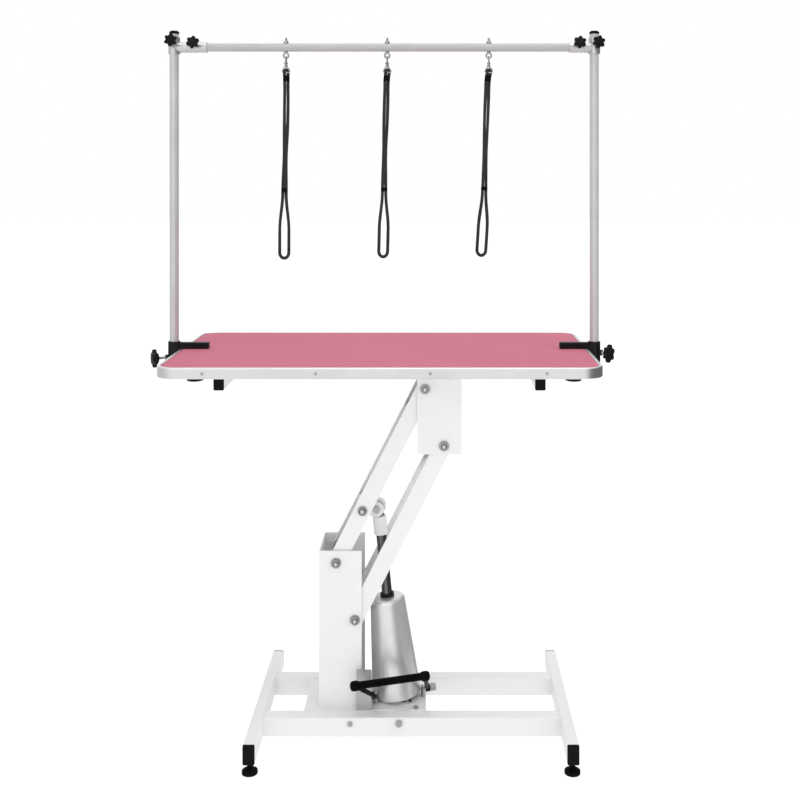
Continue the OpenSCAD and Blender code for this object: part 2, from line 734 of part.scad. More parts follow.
module pump_cylinder() color([0.5, 0.5, 0.52]) ram() difference() {
  union() {
    cross_cyl(12, 39);
    translate([-12, -19.5, 0]) cube([24, 39, 24]);
    cyl_z(44, 20, 30);
    cyl_z(barrel_r, 28, barrel_top);
  }
  cross_cyl(6.05, 60);
  cyl_z(bore_r, 38, 250);
}

module pump_gland() color([0.16, 0.16, 0.17]) ram() difference() {
  union() {
    cyl_z(barrel_r, barrel_top, barrel_top + 6);
    cyl_z(19, barrel_top + 5, barrel_top + 16);
    cyl_z(bore_r - play, barrel_top - 10, barrel_top + 1);
  }
  cyl_z(rod_r + fit, 230, 270);
}

module pump_piston() color(steel) ram() difference() {
  cyl_z(bore_r - fit, piston_z, piston_z + 18);
  cyl_z(stud_r + fit, piston_z - 1, piston_z + 20);
}

module lift_rod() color([0.3, 0.3, 0.31]) ram() {
  cyl_z(rod_r, piston_z + 18, rod_end);
  cyl_z(stud_r, piston_z - 3, piston_z + 19);
  cyl_z(11, piston_z - 8, piston_z - fit);
  cyl_z(tenon_r, rod_end - 1, rod_end + 30);
}

module rod_head() color(white) ram() difference() {
  union() {
    cyl_z(19, rod_end - 17, rod_end + 33);
    cyl_z(10, rod_end + 32, rod_end + 43);
    translate([0, 0, ram_len]) cross_cyl(20.5, 24);
  }
  translate([0, 0, ram_len]) cross_cyl(15.6, 60);
  cyl_z(rod_r + fit, rod_end - 20, rod_end);
  cyl_z(tenon_r + fit, rod_end - 1, rod_end + 31);
}

// ---------------------------------------------------------------- pedal
tread_left = [-69, -160, 177];
tread_right = [112, -105, 177];
left_knee = [-14, -104, 121];
left_hub = pedal_pivot - 75.5 * pedal_dir;
right_hub = pedal_pivot + 79.5 * pedal_dir;
leg_r = 6;

// Cylinders along the pivot line at the foot of each leg
module at_hubs(r, h) for (p = [left_hub, right_hub])
  translate(p) rotate([0, 90, pedal_turn]) cylinder(r = r, h = h, center = true);

module pedal() color(black) difference() {
  union() {
    bar_between(tread_left, tread_right, 9.5);
    for (p = [tread_left, tread_right]) translate(p) sphere(13);
    bar_between(tread_left, left_knee, leg_r);
    translate(left_knee) sphere(7.5);
    bar_between(left_knee, left_hub, leg_r);
    bar_between(tread_right, right_hub, leg_r);
    at_hubs(10, 12);
  }
  at_hubs(pedal_pin_r + fit, 30);
  // The right leg clears the spacer on its pin
  on_pedal_line() rotate([0, 90, 0]) translate([0, 0, 66]) cylinder(r = 8.8, h = 7.45);
}

foot_rails();
cross_beams();
base_plate();
column();
rail_end_caps();
foot_nuts();
column_bolts();
beam_bolts();
pedal_stop_bracket();
pump_mount();
pump_mount_pins();
column_pivot_pins();
foot_front_left();
foot_front_right();
foot_rear_left();
foot_rear_right();
upper_arm();
upper_arm_bushes();
lift_lugs();
lift_lug_pins();
lower_arm();
lower_arm_bushes();
platform_bracket();
platform_pivot_pins();
table_frame();
frame_end_caps();
table_screws();
tabletop_board();
rubber_mat();
table_rim();
rim_rivets();
post_clamps();
clamp_screw_left();
clamp_screw_right();
clamp_knob_left();
clamp_knob_right();
posts();
post_caps();
corner_fittings();
crossbar();
eyebolts();
corner_knob_left_post();
corner_knob_left_bar();
corner_knob_right_post();
corner_knob_right_bar();
snap_hook_left();
snap_hook_middle();
snap_hook_right();
noose_left();
noose_middle();
noose_right();
pump_cover();
pump_cylinder();
pump_gland();
pump_piston();
lift_rod();
rod_head();
pedal();
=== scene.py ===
import bpy, bmesh, json, math
from math import sin, cos, pi, radians
from mathutils import Vector, Matrix, Quaternion, noise


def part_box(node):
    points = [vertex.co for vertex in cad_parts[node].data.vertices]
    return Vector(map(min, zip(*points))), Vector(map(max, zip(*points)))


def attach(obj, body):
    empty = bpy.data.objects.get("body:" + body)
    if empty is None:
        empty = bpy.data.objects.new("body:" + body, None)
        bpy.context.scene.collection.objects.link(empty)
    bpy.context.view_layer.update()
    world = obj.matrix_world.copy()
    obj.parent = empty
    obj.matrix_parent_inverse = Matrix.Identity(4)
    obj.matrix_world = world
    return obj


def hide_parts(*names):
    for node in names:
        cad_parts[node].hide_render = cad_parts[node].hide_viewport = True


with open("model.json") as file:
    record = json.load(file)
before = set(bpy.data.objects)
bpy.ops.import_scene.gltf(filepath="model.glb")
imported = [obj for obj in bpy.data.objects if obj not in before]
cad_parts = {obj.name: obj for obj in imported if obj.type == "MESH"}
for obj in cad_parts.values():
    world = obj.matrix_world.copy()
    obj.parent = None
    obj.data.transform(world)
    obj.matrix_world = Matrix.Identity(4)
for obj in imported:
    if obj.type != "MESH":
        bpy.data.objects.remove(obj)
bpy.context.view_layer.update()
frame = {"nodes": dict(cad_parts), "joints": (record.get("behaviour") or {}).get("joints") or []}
scene = bpy.context.scene
nodes = frame["nodes"]

# ------------------------------------------------------------------ helpers
def link(name, me):
    o = bpy.data.objects.new(name, me)
    scene.collection.objects.link(o)
    return o

def mesh_from(name, verts, faces, smooth=True):
    me = bpy.data.meshes.new(name)
    me.from_pydata([tuple(v) for v in verts], [], faces)
    me.validate(verbose=False)
    bm = bmesh.new(); bm.from_mesh(me)
    bmesh.ops.recalc_face_normals(bm, faces=bm.faces)
    bm.to_mesh(me); bm.free()
    if smooth:
        for p in me.polygons: p.use_smooth = True
    return link(name, me)

def sharp_by_angle(o, deg=35):
    me = o.data
    bm = bmesh.new(); bm.from_mesh(me)
    lim = radians(deg)
    for f in bm.faces: f.smooth = True
    for e in bm.edges:
        if len(e.link_faces) == 2:
            e.smooth = e.calc_face_angle(0.0) < lim
    bm.to_mesh(me); bm.free()
    return o

def place(o, mat):
    """Bakes a matrix into the mesh."""
    o.data.transform(mat)
    return o

def put(o, body, material, slot, *replaced):
    if material is not None:
        o.data.materials.clear()
        o.data.materials.append(material)
    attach(o, body)
    if replaced:
        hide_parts(*replaced)
    return o

def axis_matrix(origin, direction, xhint=(1, 0, 0)):
    z = Vector(direction).normalized()
    x = Vector(xhint)
    x = (x - z * x.dot(z))
    if x.length < 1e-5:
        x = Vector((0, 1, 0)); x = x - z * x.dot(z)
    x.normalize()
    y = z.cross(x)
    m = Matrix((x, y, z)).transposed().to_4x4()
    m.translation = Vector(origin)
    return m

def lathe(name, prof, n=64, closed=False):
    """Turned part about local z. prof is [(r, z)...]; ends on the axis close it."""
    verts, rings = [], []
    for r, z in prof:
        if r < 1e-7:
            rings.append([len(verts)]); verts.append((0, 0, z))
        else:
            rings.append(list(range(len(verts), len(verts) + n)))
            for i in range(n):
                a = 2 * pi * i / n
                verts.append((r * cos(a), r * sin(a), z))
    faces = []
    pairs = list(zip(rings, rings[1:]))
    if closed: pairs.append((rings[-1], rings[0]))
    for a, b in pairs:
        for i in range(n):
            j = (i + 1) % n
            if len(a) == 1 and len(b) == 1: continue
            if len(a) == 1: faces.append((a[0], b[i], b[j]))
            elif len(b) == 1: faces.append((a[i], a[j], b[0]))
            else: faces.append((a[i], a[j], b[j], b[i]))
    return mesh_from(name, verts, faces)

def frames_along(path, up=(0, 1, 0), closed=False):
    """Tangent, normal, binormal at each point, carried along without twisting."""
    n = len(path)
    T = []
    for i in range(n):
        if closed:
            d = path[(i + 1) % n] - path[i - 1]
        else:
            d = path[min(i + 1, n - 1)] - path[max(i - 1, 0)]
        T.append(d.normalized())
    u = Vector(up); u = (u - T[0] * u.dot(T[0])).normalized()
    N = [u]
    for i in range(1, n):
        q = T[i - 1].rotation_difference(T[i])
        v = q @ N[-1]
        v = (v - T[i] * v.dot(T[i])).normalized()
        N.append(v)
    return T, N, [t.cross(v) for t, v in zip(T, N)]

def sweep(name, path, section, up=(0, 1, 0), closed=False, caps=True, twist=None, scale=None, uv=False):
    """section: closed list of (a, b) in normal, binormal directions."""
    T, N, B = frames_along(path, up, closed)
    m = len(section)
    verts, faces = [], []
    for i, p in enumerate(path):
        tw = twist[i] if twist else 0.0
        sc = scale[i] if scale else 1.0
        c, s = cos(tw), sin(tw)
        for a, b in section:
            a2, b2 = (a * c - b * s) * sc, (a * s + b * c) * sc
            verts.append(p + N[i] * a2 + B[i] * b2)
    n = len(path)
    for i in range(n if closed else n - 1):
        i2 = (i + 1) % n
        for j in range(m):
            k = (j + 1) % m
            faces.append((i * m + j, i * m + k, i2 * m + k, i2 * m + j))
    if caps and not closed:
        faces.append(tuple(range(m - 1, -1, -1)))
        faces.append(tuple(range((n - 1) * m, n * m)))
    o = mesh_from(name, verts, faces)
    if uv:
        L = [0.0]
        for i in range(1, n): L.append(L[-1] + (path[i] - path[i - 1]).length)
        if closed: L.append(L[-1] + (path[0] - path[-1]).length)
        layer = o.data.uv_layers.new(name="along")
        for poly in o.data.polygons:
            vi = [o.data.loops[l].vertex_index for l in poly.loop_indices]
            rows = [v // m for v in vi]; cols = [v % m for v in vi]
            for l, r, c in zip(poly.loop_indices, rows, cols):
                rr = r
                if closed and r == 0 and (n - 1) in rows: rr = n
                cc = c
                if c == 0 and (m - 1) in cols: cc = m
                layer.data[l].uv = (L[min(rr, len(L) - 1)], cc / m)
    return o

def circ(r, n=16, ph=0.0):
    return [(r * cos(2 * pi * i / n + ph), r * sin(2 * pi * i / n + ph)) for i in range(n)]

def round_path(pts, r, seg=6):
    """Polyline with its corners rounded."""
    pts = [Vector(p) for p in pts]
    out = [pts[0]]
    for i in range(1, len(pts) - 1):
        a, b, c = pts[i - 1], pts[i], pts[i + 1]
        u, v = (a - b).normalized(), (c - b).normalized()
        d = min(r, (a - b).length * 0.45, (c - b).length * 0.45)
        p0, p1 = b + u * d, b + v * d
        for k in range(seg + 1):
            t = k / seg
            out.append(p0 * (1 - t) ** 2 + b * 2 * t * (1 - t) + p1 * t * t)
    out.append(pts[-1])
    return out

def join(name, objs):
    bm = bmesh.new()
    for o in objs:
        me = o.data
        me.transform(o.matrix_world)
        bm.from_mesh(me)
    me = bpy.data.meshes.new(name)
    bm.to_mesh(me); bm.free()
    for o in objs:
        d = o.data
        bpy.data.objects.remove(o)
        bpy.data.meshes.remove(d)
    for p in me.polygons: p.use_smooth = True
    return link(name, me)

def bevel(o, width, seg=2, angle=32):
    m = o.modifiers.new("edge", "BEVEL")
    m.width = width; m.segments = seg; m.limit_method = "ANGLE"; m.angle_limit = radians(angle)
    m.harden_normals = False
    m.use_clamp_overlap = True
    return m

# ------------------------------------------------------------------ materials
def new_mat(name):
    m = bpy.data.materials.new(name)
    m.use_nodes = True
    nt = m.node_tree
    for n in list(nt.nodes): nt.nodes.remove(n)
    out = nt.nodes.new("ShaderNodeOutputMaterial")
    b = nt.nodes.new("ShaderNodeBsdfPrincipled")
    nt.links.new(b.outputs[0], out.inputs[0])
    return m, nt, b

def N(nt, kind, **kw):
    n = nt.nodes.new(kind)
    for k, v in kw.items(): setattr(n, k, v)
    return n

def coords(nt, scale=(1, 1, 1), rot=(0, 0, 0)):
    t = N(nt, "ShaderNodeTexCoord")
    mp = N(nt, "ShaderNodeMapping")
    mp.inputs["Scale"].default_value = scale
    mp.inputs["Rotation"].default_value = rot
    nt.links.new(t.outputs["Object"], mp.inputs["Vector"])
    return mp.outputs["Vector"]

def tex_noise(nt, vec, scale, detail=3.0, rough=0.5):
    n = N(nt, "ShaderNodeTexNoise")
    n.inputs["Scale"].default_value = scale
    n.inputs["Detail"].default_value = detail
    n.inputs["Roughness"].default_value = rough
    nt.links.new(vec, n.inputs["Vector"])
    return n.outputs["Fac"]

def ramp(nt, fac, a, b, lo=0.3, hi=0.7):
    r = N(nt, "ShaderNodeMapRange")
    r.inputs["From Min"].default_value = lo; r.inputs["From Max"].default_value = hi
    r.inputs["To Min"].default_value = a; r.inputs["To Max"].default_value = b
    nt.links.new(fac, r.inputs["Value"])
    return r.outputs["Result"]

def mix_col(nt, fac, a, b, mode="MIX"):
    m = N(nt, "ShaderNodeMix", data_type="RGBA", blend_type=mode)
    for sock, v in ((m.inputs[6], a), (m.inputs[7], b)):
        if isinstance(v, (tuple, list)): sock.default_value = (*v[:3], 1)
        else: nt.links.new(v, sock)
    if isinstance(fac, float): m.inputs[0].default_value = fac
    else: nt.links.new(fac, m.inputs[0])
    return m.outputs[2]

def bump(nt, height, strength, dist, normal=None):
    b = N(nt, "ShaderNodeBump")
    b.inputs["Strength"].default_value = strength
    b.inputs["Distance"].default_value = dist
    nt.links.new(height, b.inputs["Height"])
    if normal is not None: nt.links.new(normal, b.inputs["Normal"])
    return b.outputs["Normal"]

def edge_wear(nt, r=0.0012):
    """1 on exposed convex edges, 0 elsewhere."""
    g = N(nt, "ShaderNodeNewGeometry")
    p = N(nt, "ShaderNodeMapRange")
    p.inputs["From Min"].default_value = 0.52; p.inputs["From Max"].default_value = 0.62
    nt.links.new(g.outputs["Pointiness"], p.inputs["Value"])
    return p.outputs["Result"]

def powder_coat(name, col, dark, rough=0.34, peel=0.5):
    m, nt, b = new_mat(name)
    v = coords(nt)
    big = tex_noise(nt, v, 5.0, 4.0)
    grain = tex_noise(nt, v, 900.0, 2.0)
    orange = tex_noise(nt, v, 320.0, 1.0)
    c = mix_col(nt, ramp(nt, big, 0.0, 1.0, 0.35, 0.75), col, dark)
    c2 = mix_col(nt, ramp(nt, tex_noise(nt, v, 60.0, 5.0), 0.0, 0.35, 0.55, 0.8), c, tuple(x * 0.94 for x in dark))
    nt.links.new(c2, b.inputs["Base Color"])
    r = ramp(nt, grain, rough - 0.05, rough + 0.08, 0.3, 0.7)
    nt.links.new(r, b.inputs["Roughness"])
    b.inputs["Specular IOR Level"].default_value = 0.5
    b.inputs["Coat Weight"].default_value = 0.25
    b.inputs["Coat Roughness"].default_value = 0.18
    nt.links.new(bump(nt, orange, peel * 0.35, 0.0006), b.inputs["Normal"])
    return m

def metal(name, col, rough, stretch=(1, 1, 1), streak=600.0, amount=0.12, bump_s=0.12, col2=None, aniso=0.0, metallic=1.0):
    m, nt, b = new_mat(name)
    v = coords(nt, stretch)
    v0 = coords(nt)
    s = tex_noise(nt, v, streak, 4.0, 0.6)
    cl = tex_noise(nt, v0, 9.0, 4.0)
    fine = tex_noise(nt, v0, 220.0, 3.0)
    col2 = col2 or tuple(x * 0.86 for x in col)
    c = mix_col(nt, ramp(nt, cl, 0.0, 0.8, 0.35, 0.75), col, col2)
    c = mix_col(nt, ramp(nt, s, 0.0, 0.35, 0.4, 0.7), c, tuple(x * 0.8 for x in col))
    nt.links.new(c, b.inputs["Base Color"])
    b.inputs["Metallic"].default_value = metallic
    add = N(nt, "ShaderNodeMath", operation="ADD")
    nt.links.new(ramp(nt, s, rough - amount / 2, rough + amount / 2, 0.3, 0.7), add.inputs[0])
    nt.links.new(ramp(nt, fine, 0.0, amount * 0.5, 0.5, 0.8), add.inputs[1])
    nt.links.new(add.outputs[0], b.inputs["Roughness"])
    if aniso: b.inputs["Anisotropic"].default_value = aniso
    nt.links.new(bump(nt, s, bump_s, 0.0004), b.inputs["Normal"])
    return m

def plastic(name, col, rough=0.45, grain=700.0, strength=0.18):
    m, nt, b = new_mat(name)
    v = coords(nt)
    g = tex_noise(nt, v, grain, 3.0)
    cl = tex_noise(nt, v, 26.0, 4.0)
    c = mix_col(nt, ramp(nt, cl, 0.0, 1.0, 0.35, 0.75), col, tuple(min(1, x * 1.6 + 0.002) for x in col))
    w = ramp(nt, edge_wear(nt), 0.0, 0.6, 0.2, 1.0)
    c = mix_col(nt, w, c, tuple(min(1, x * 1.8 + 0.008) for x in col))
    b.inputs["Specular IOR Level"].default_value = 0.13
    nt.links.new(c, b.inputs["Base Color"])
    nt.links.new(ramp(nt, g, rough - 0.08, rough + 0.1, 0.3, 0.7), b.inputs["Roughness"])
    nt.links.new(bump(nt, g, strength, 0.0004), b.inputs["Normal"])
    return m

M = {}
M["white"] = powder_coat("powder_coat_white", (0.845, 0.85, 0.858), (0.81, 0.815, 0.823))
M["post"] = metal("post_tube_steel", (0.66, 0.665, 0.67), 0.50, (1, 1, 0.02), 700.0, metallic=0.50)
M["bar"] = metal("crossbar_steel", (0.56, 0.565, 0.57), 0.62, (0.02, 1, 1), 700.0, metallic=0.45)
M["fitting"] = metal("fitting_steel", (0.74, 0.745, 0.755), 0.45, (1, 1, 1), 300.0)
M["zinc"] = metal("zinc_plate", (0.52, 0.525, 0.535), 0.34, (1, 1, 1), 400.0, 0.16, col2=(0.38, 0.385, 0.395))
M["chrome"] = metal("cover_polished", (0.88, 0.885, 0.893), 0.33, (1, 1, 0.03), 500.0, 0.05, 0.025, col2=(0.80, 0.805, 0.815), metallic=0.72)
M["rod"] = metal("rod_ground", (0.20, 0.20, 0.21), 0.26, (1, 1, 12), 500.0, 0.1)
M["cylgrey"] = powder_coat("cylinder_paint", (0.16, 0.17, 0.18), (0.12, 0.125, 0.13))
M["gland"] = plastic("gland_plastic", (0.012, 0.012, 0.013), 0.5)
M["bronze"] = metal("bush_bronze", (0.60, 0.43, 0.20), 0.42, (1, 1, 1), 600.0)
M["clamp"] = plastic("clamp_coat_black", (0.006, 0.006, 0.0065), 0.44, 420.0, 0.3)
M["knob"] = plastic("knob_plastic", (0.005, 0.005, 0.0055), 0.42)
M["cap"] = plastic("cap_plastic", (0.0025, 0.0025, 0.0028), 0.5)
M["foot"] = plastic("foot_rubber", (0.002, 0.002, 0.002), 0.62, 500.0, 0.3)
for k_ in ("foot", "cap"): M[k_].node_tree.nodes["Principled BSDF"].inputs["Specular IOR Level"].default_value = 0.05
M["bracket"] = metal("bracket_steel", (0.55, 0.56, 0.57), 0.42, (1, 1, 0.05), 500.0)
M["rim"] = metal("rim_aluminium", (0.83, 0.845, 0.835), 0.36, (0.03, 1, 1), 500.0, 0.1, 0.06)

cad_materials = {
    "white": ["foot_rails", "cross_beams", "base_plate", "column", "upper_arm", "lower_arm", "lift_lugs", "platform_bracket", "table_frame", "rod_head"],
    "zinc": ["foot_nuts", "column_bolts", "beam_bolts", "pump_mount_pins", "column_pivot_pins", "lift_lug_pins", "platform_pivot_pins", "table_screws", "rim_rivets", "eyebolts",
             "snap_hook_left", "snap_hook_middle", "snap_hook_right", "pump_piston"],
    "bracket": ["pedal_stop_bracket", "pump_mount"],
    "cap": ["rail_end_caps", "frame_end_caps", "post_caps"],
    "foot": ["foot_front_left", "foot_front_right", "foot_rear_left", "foot_rear_right"],
    "bronze": ["upper_arm_bushes", "lower_arm_bushes"],
    "clamp": ["post_clamps", "pedal"],
    "knob": ["clamp_screw_left", "clamp_screw_right", "clamp_knob_left", "clamp_knob_right", "corner_knob_left_post", "corner_knob_left_bar", "corner_knob_right_post", "corner_knob_right_bar",
             "noose_left", "noose_middle", "noose_right"],
    "post": ["posts"], "bar": ["crossbar"], "fitting": ["corner_fittings"],
    "chrome": ["pump_cover"], "cylgrey": ["pump_cylinder"], "gland": ["pump_gland"], "rod": ["lift_rod"], "rim": ["table_rim"],
    "mat": ["rubber_mat"], "wood": ["tabletop_board"],
}

def mat_rubber():
    m, nt, b = new_mat("mat_rubber_pink")
    v = coords(nt)
    t = N(nt, "ShaderNodeTexCoord")
    sep = N(nt, "ShaderNodeSeparateXYZ"); nt.links.new(t.outputs["Object"], sep.inputs[0])
    # fine ribs across the depth, 3 mm apart; they drive the bump and painted shade in their valleys
    w = N(nt, "ShaderNodeMath", operation="MULTIPLY"); w.inputs[1].default_value = 2 * pi / 0.003
    nt.links.new(sep.outputs["Y"], w.inputs[0])
    s = N(nt, "ShaderNodeMath", operation="SINE"); nt.links.new(w.outputs[0], s.inputs[0])
    peb = tex_noise(nt, v, 850.0, 3.0)
    big = tex_noise(nt, v, 3.5, 4.0)
    mid = tex_noise(nt, v, 40.0, 5.0)
    c = mix_col(nt, ramp(nt, big, 0.0, 1.0, 0.3, 0.7), (0.575, 0.130, 0.207), (0.610, 0.146, 0.225))
    c = mix_col(nt, ramp(nt, mid, 0.0, 0.5, 0.45, 0.8), c, (0.54, 0.120, 0.192))
    # painted shade: the rib valleys (low sine) are darkened in the base colour
    c = mix_col(nt, ramp(nt, s.outputs[0], 0.35, 0.0, -1.0, 0.2), c, (0.48, 0.108, 0.167))
    nt.links.new(c, b.inputs["Base Color"])
    nt.links.new(ramp(nt, peb, 0.55, 0.72, 0.3, 0.7), b.inputs["Roughness"])
    b.inputs["Specular IOR Level"].default_value = 0.35
    b.inputs["Sheen Weight"].default_value = 0.08
    n1 = bump(nt, s.outputs[0], 0.4, 0.0003)
    nt.links.new(bump(nt, peb, 0.25, 0.0003, n1), b.inputs["Normal"])
    return m
M["mat"] = mat_rubber()

def wood_board():
    m, nt, b = new_mat("board_ply")
    v = coords(nt, (1, 8, 8))
    w = N(nt, "ShaderNodeTexWave"); w.inputs["Scale"].default_value = 6.0; w.inputs["Distortion"].default_value = 6.0; w.inputs["Detail"].default_value = 3.0
    nt.links.new(v, w.inputs["Vector"])
    f = tex_noise(nt, coords(nt, (4, 90, 90)), 5.0, 5.0)
    c = mix_col(nt, ramp(nt, w.outputs["Fac"], 0.0, 1.0, 0.2, 0.8), (0.66, 0.65, 0.63), (0.60, 0.59, 0.57))
    c = mix_col(nt, ramp(nt, f, 0.0, 0.5, 0.4, 0.7), c, (0.52, 0.51, 0.49))
    nt.links.new(c, b.inputs["Base Color"])
    b.inputs["Roughness"].default_value = 0.6
    nt.links.new(bump(nt, f, 0.25, 0.0004), b.inputs["Normal"])
    return m
M["wood"] = wood_board()

for key, names in cad_materials.items():
    for n in names:
        o = nodes[n]
        o.data.materials.clear()
        o.data.materials.append(M[key])

# ------------------------------------------------------------------ pieces
for n in ("foot_rails", "cross_beams", "table_frame"): bevel(nodes[n], 0.0006, 2)
for n in ("base_plate", "column", "platform_bracket", "upper_arm", "lower_arm", "lift_lugs", "pedal_stop_bracket", "pump_mount"): bevel(nodes[n], 0.0009, 3)
for n in ("rail_end_caps", "frame_end_caps", "post_caps", "pump_gland"): bevel(nodes[n], 0.0008, 3)
for n in ("post_clamps",): bevel(nodes[n], 0.0016, 3)
for n in ("column_pivot_pins", "platform_pivot_pins", "lift_lug_pins", "beam_bolts", "column_bolts", "pump_mount_pins", "table_screws", "foot_nuts", "eyebolts"):
    bevel(nodes[n], 0.0007, 2)
for n in ("corner_fittings", "posts", "crossbar", "rod_head"): bevel(nodes[n], 0.0007, 2)
for n in ("foot_front_left", "foot_front_right", "foot_rear_left", "foot_rear_right"): bevel(nodes[n], 0.0009, 3)

MM = 0.001
POST_X, BAR_Z, KNOB_Z = 0.575, 1.849, 1.866

def joint(name):
    return next(j for j in frame["joints"] if j["name"] == name)

# ---- star knobs on threaded screws
def lobed_rings(rings, n=144, lobes=6):
    """rings: [(radius of the valleys, height of the lobes, z)]"""
    verts, faces = [], []
    for r, a, z in rings:
        for i in range(n):
            t = 2 * pi * i / n
            k = 0.5 + 0.5 * cos(lobes * t)
            rr = r + a * (k ** 0.75)
            verts.append((rr * cos(t), rr * sin(t), z))
    m = len(rings)
    for k in range(m - 1):
        for i in range(n):
            j = (i + 1) % n
            faces.append((k * n + i, k * n + j, (k + 1) * n + j, (k + 1) * n + i))
    c0 = len(verts); verts.append((0, 0, rings[0][2]))
    c1 = len(verts); verts.append((0, 0, rings[-1][2]))
    for i in range(n):
        j = (i + 1) % n
        faces.append((c0, j, i)); faces.append((c1, (m - 1) * n + i, (m - 1) * n + j))
    return verts, faces

def star_knob(name, mat4, f):
    rr = [(7.0, 0, -4.5), (8.2, 0, -4.2), (8.6, 0, -3.6), (8.9, 0, -0.6), (9.4, 1.4, 0.1), (10.6, 3.6, 0.5), (11.4, 4.5, 1.1), (11.75, 4.75, 2.2), (11.75, 4.75, 9.6), (11.4, 4.5, 10.8),
          (10.7, 3.8, 11.6), (9.6, 2.2, 12.1), (8.6, 0.7, 12.25), (8.0, 0, 12.3), (7.8, 0, 13.4), (7.4, 0, 13.85), (6.7, 0, 14.0), (6.3, 0, 13.8), (6.1, 0, 13.2), (2.5, 0, 13.1)]
    v, fc = lobed_rings([(a * f * MM, b * f * MM, c * MM) for a, b, c in rr])
    o = mesh_from(name, v, fc)
    sharp_by_angle(o, 50)
    return place(o, mat4)

def screw_thread(name, mat4, r, z0, z1, pitch=1.25, n=24):
    """A rod with a real helical thread between z0 and z1 (mm)."""
    depth = 0.45
    per = 8
    steps = max(2, int((z1 - z0) / pitch * per))
    verts, faces = [], []
    for k in range(steps + 1):
        z = z0 + (z1 - z0) * k / steps
        for i in range(n):
            a = 2 * pi * i / n
            ph = (z / pitch - i / n) % 1.0
            h = abs(2 * ph - 1)
            fade = min(1, (z - z0) / pitch, (z1 - z) / pitch) if 0 < k < steps else 0
            rr = (r - depth + depth * h * max(0, fade)) if 0 < k < steps else r - depth - 0.3
            verts.append((rr * cos(a) * MM, rr * sin(a) * MM, z * MM))
    for k in range(steps):
        for i in range(n):
            j = (i + 1) % n
            faces.append((k * n + i, k * n + j, (k + 1) * n + j, (k + 1) * n + i))
    faces.append(tuple(range(n - 1, -1, -1)))
    faces.append(tuple(range(steps * n, steps * n + n)))
    o = mesh_from(name, verts, faces)
    sharp_by_angle(o, 60)
    return place(o, mat4)

def add_knob(node, body, jname, dist, rclear, f):
    j = joint(jname)
    d = Vector(j["axis"]).normalized()
    # the star's own inner face lies dist - 6 mm out along the axis
    m = axis_matrix(Vector(j["pos_m"]) + d * (dist - 6) * MM, d, (0.13, 0.2, 1))
    tip = dist - 6 - rclear - 0.3
    put(star_knob(node + "_star", m, f), body, M["knob"], "knob_black", node)
    put(screw_thread(node + "_screw", m, 4.0, -tip, -4.0), body, M["zinc"], "zinc")
add_knob("clamp_knob_left", "clamp_knob_l", "clamp_knob_l_turn", 54, 12.5, 1.5)
add_knob("clamp_knob_right", "clamp_knob_r", "clamp_knob_r_turn", 46, 12.5, 1.5)
add_knob("corner_knob_left_post", "knob_lp", "corner_knob_lp_turn", 33, 12.5, 1.09)
add_knob("corner_knob_right_post", "knob_rp", "corner_knob_rp_turn", 33, 12.5, 1.09)
add_knob("corner_knob_left_bar", "knob_lb", "corner_knob_lb_turn", 33, 11.25, 1.09)
add_knob("corner_knob_right_bar", "knob_rb", "corner_knob_rb_turn", 33, 11.25, 1.09)

# ---- lock nut collars, their dark inserts and the bolt ends that stand out of them
def lock_nuts(tag, body, places):
    """places: [(x, y of the nut's outer face, z, collar radius, bolt radius, direction)]"""
    collars, inserts, ends = [], [], []
    for i, (x, y, z, rc, rb, d) in enumerate(places):
        m = axis_matrix((x, y, z), (0, d, 0), (0.3, 0, 1))
        prof = [(0, -0.4), (rc, -0.4), (rc, 0.9), (rc - 0.3, 1.6), (rc - 1.0, 2.0), (rb + 2.0, 2.0), (rb + 1.6, 1.7), (rb + 1.5, 0.8), (0, 0.8)]
        collars.append(place(lathe("c%d" % i, [(a * MM, b * MM) for a, b in prof], 48), m))
        prof = [(rb - 0.6, 0.5), (rb + 1.7, 0.5), (rb + 1.7, 1.5), (rb + 1.2, 1.75), (rb + 0.1, 1.7), (rb - 0.6, 1.4)]
        inserts.append(place(lathe("i%d" % i, [(a * MM, b * MM) for a, b in prof], 48, True), m))
        ends.append(screw_thread("e%d" % i, m, rb, -0.5, 3.6, 1.25, 32))
    for nm, parts, mat, slot in (("collars", collars, "zinc", "zinc"), ("inserts", inserts, "cap", "knob_black"), ("bolt_ends", ends, "fitting", "zinc")):
        o = join("lock_nut_%s_%s" % (nm, tag), parts)
        sharp_by_angle(o, 45)
        put(o, body, M[mat], slot)

def pivot_places(node, washer):
    lo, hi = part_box(node)
    (x0, y0, z0), (x1, y1, z1) = lo, hi
    a, b = (x0 + washer, z1 - washer), (x1 - washer, z0 + washer)
    return a, b, y0, y1
_lo, _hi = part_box("lift_lug_pins")
_lx, _lz = _lo[0] + 13 * MM, _hi[2] - 13 * MM if _hi[2] - 13 * MM > 0.592 else _lo[2] + 13 * MM
lock_nuts("lug", "upper_link", [(_lx, _lo[1], _lz, 9.2, 6.4, -1), (_lx, _hi[1], _lz, 9.2, 6.4, 1)])
for node, body in (("column_pivot_pins", "base"), ("platform_pivot_pins", "table")):
    a, b, y0, y1 = pivot_places(node, 14 * MM)
    lock_nuts(node.split("_")[0], body, [(q[0], y0, q[1], 9.6, 5.6, -1) for q in (a, b)] + [(q[0], y1, q[1], 9.6, 5.6, 1) for q in (a, b)])

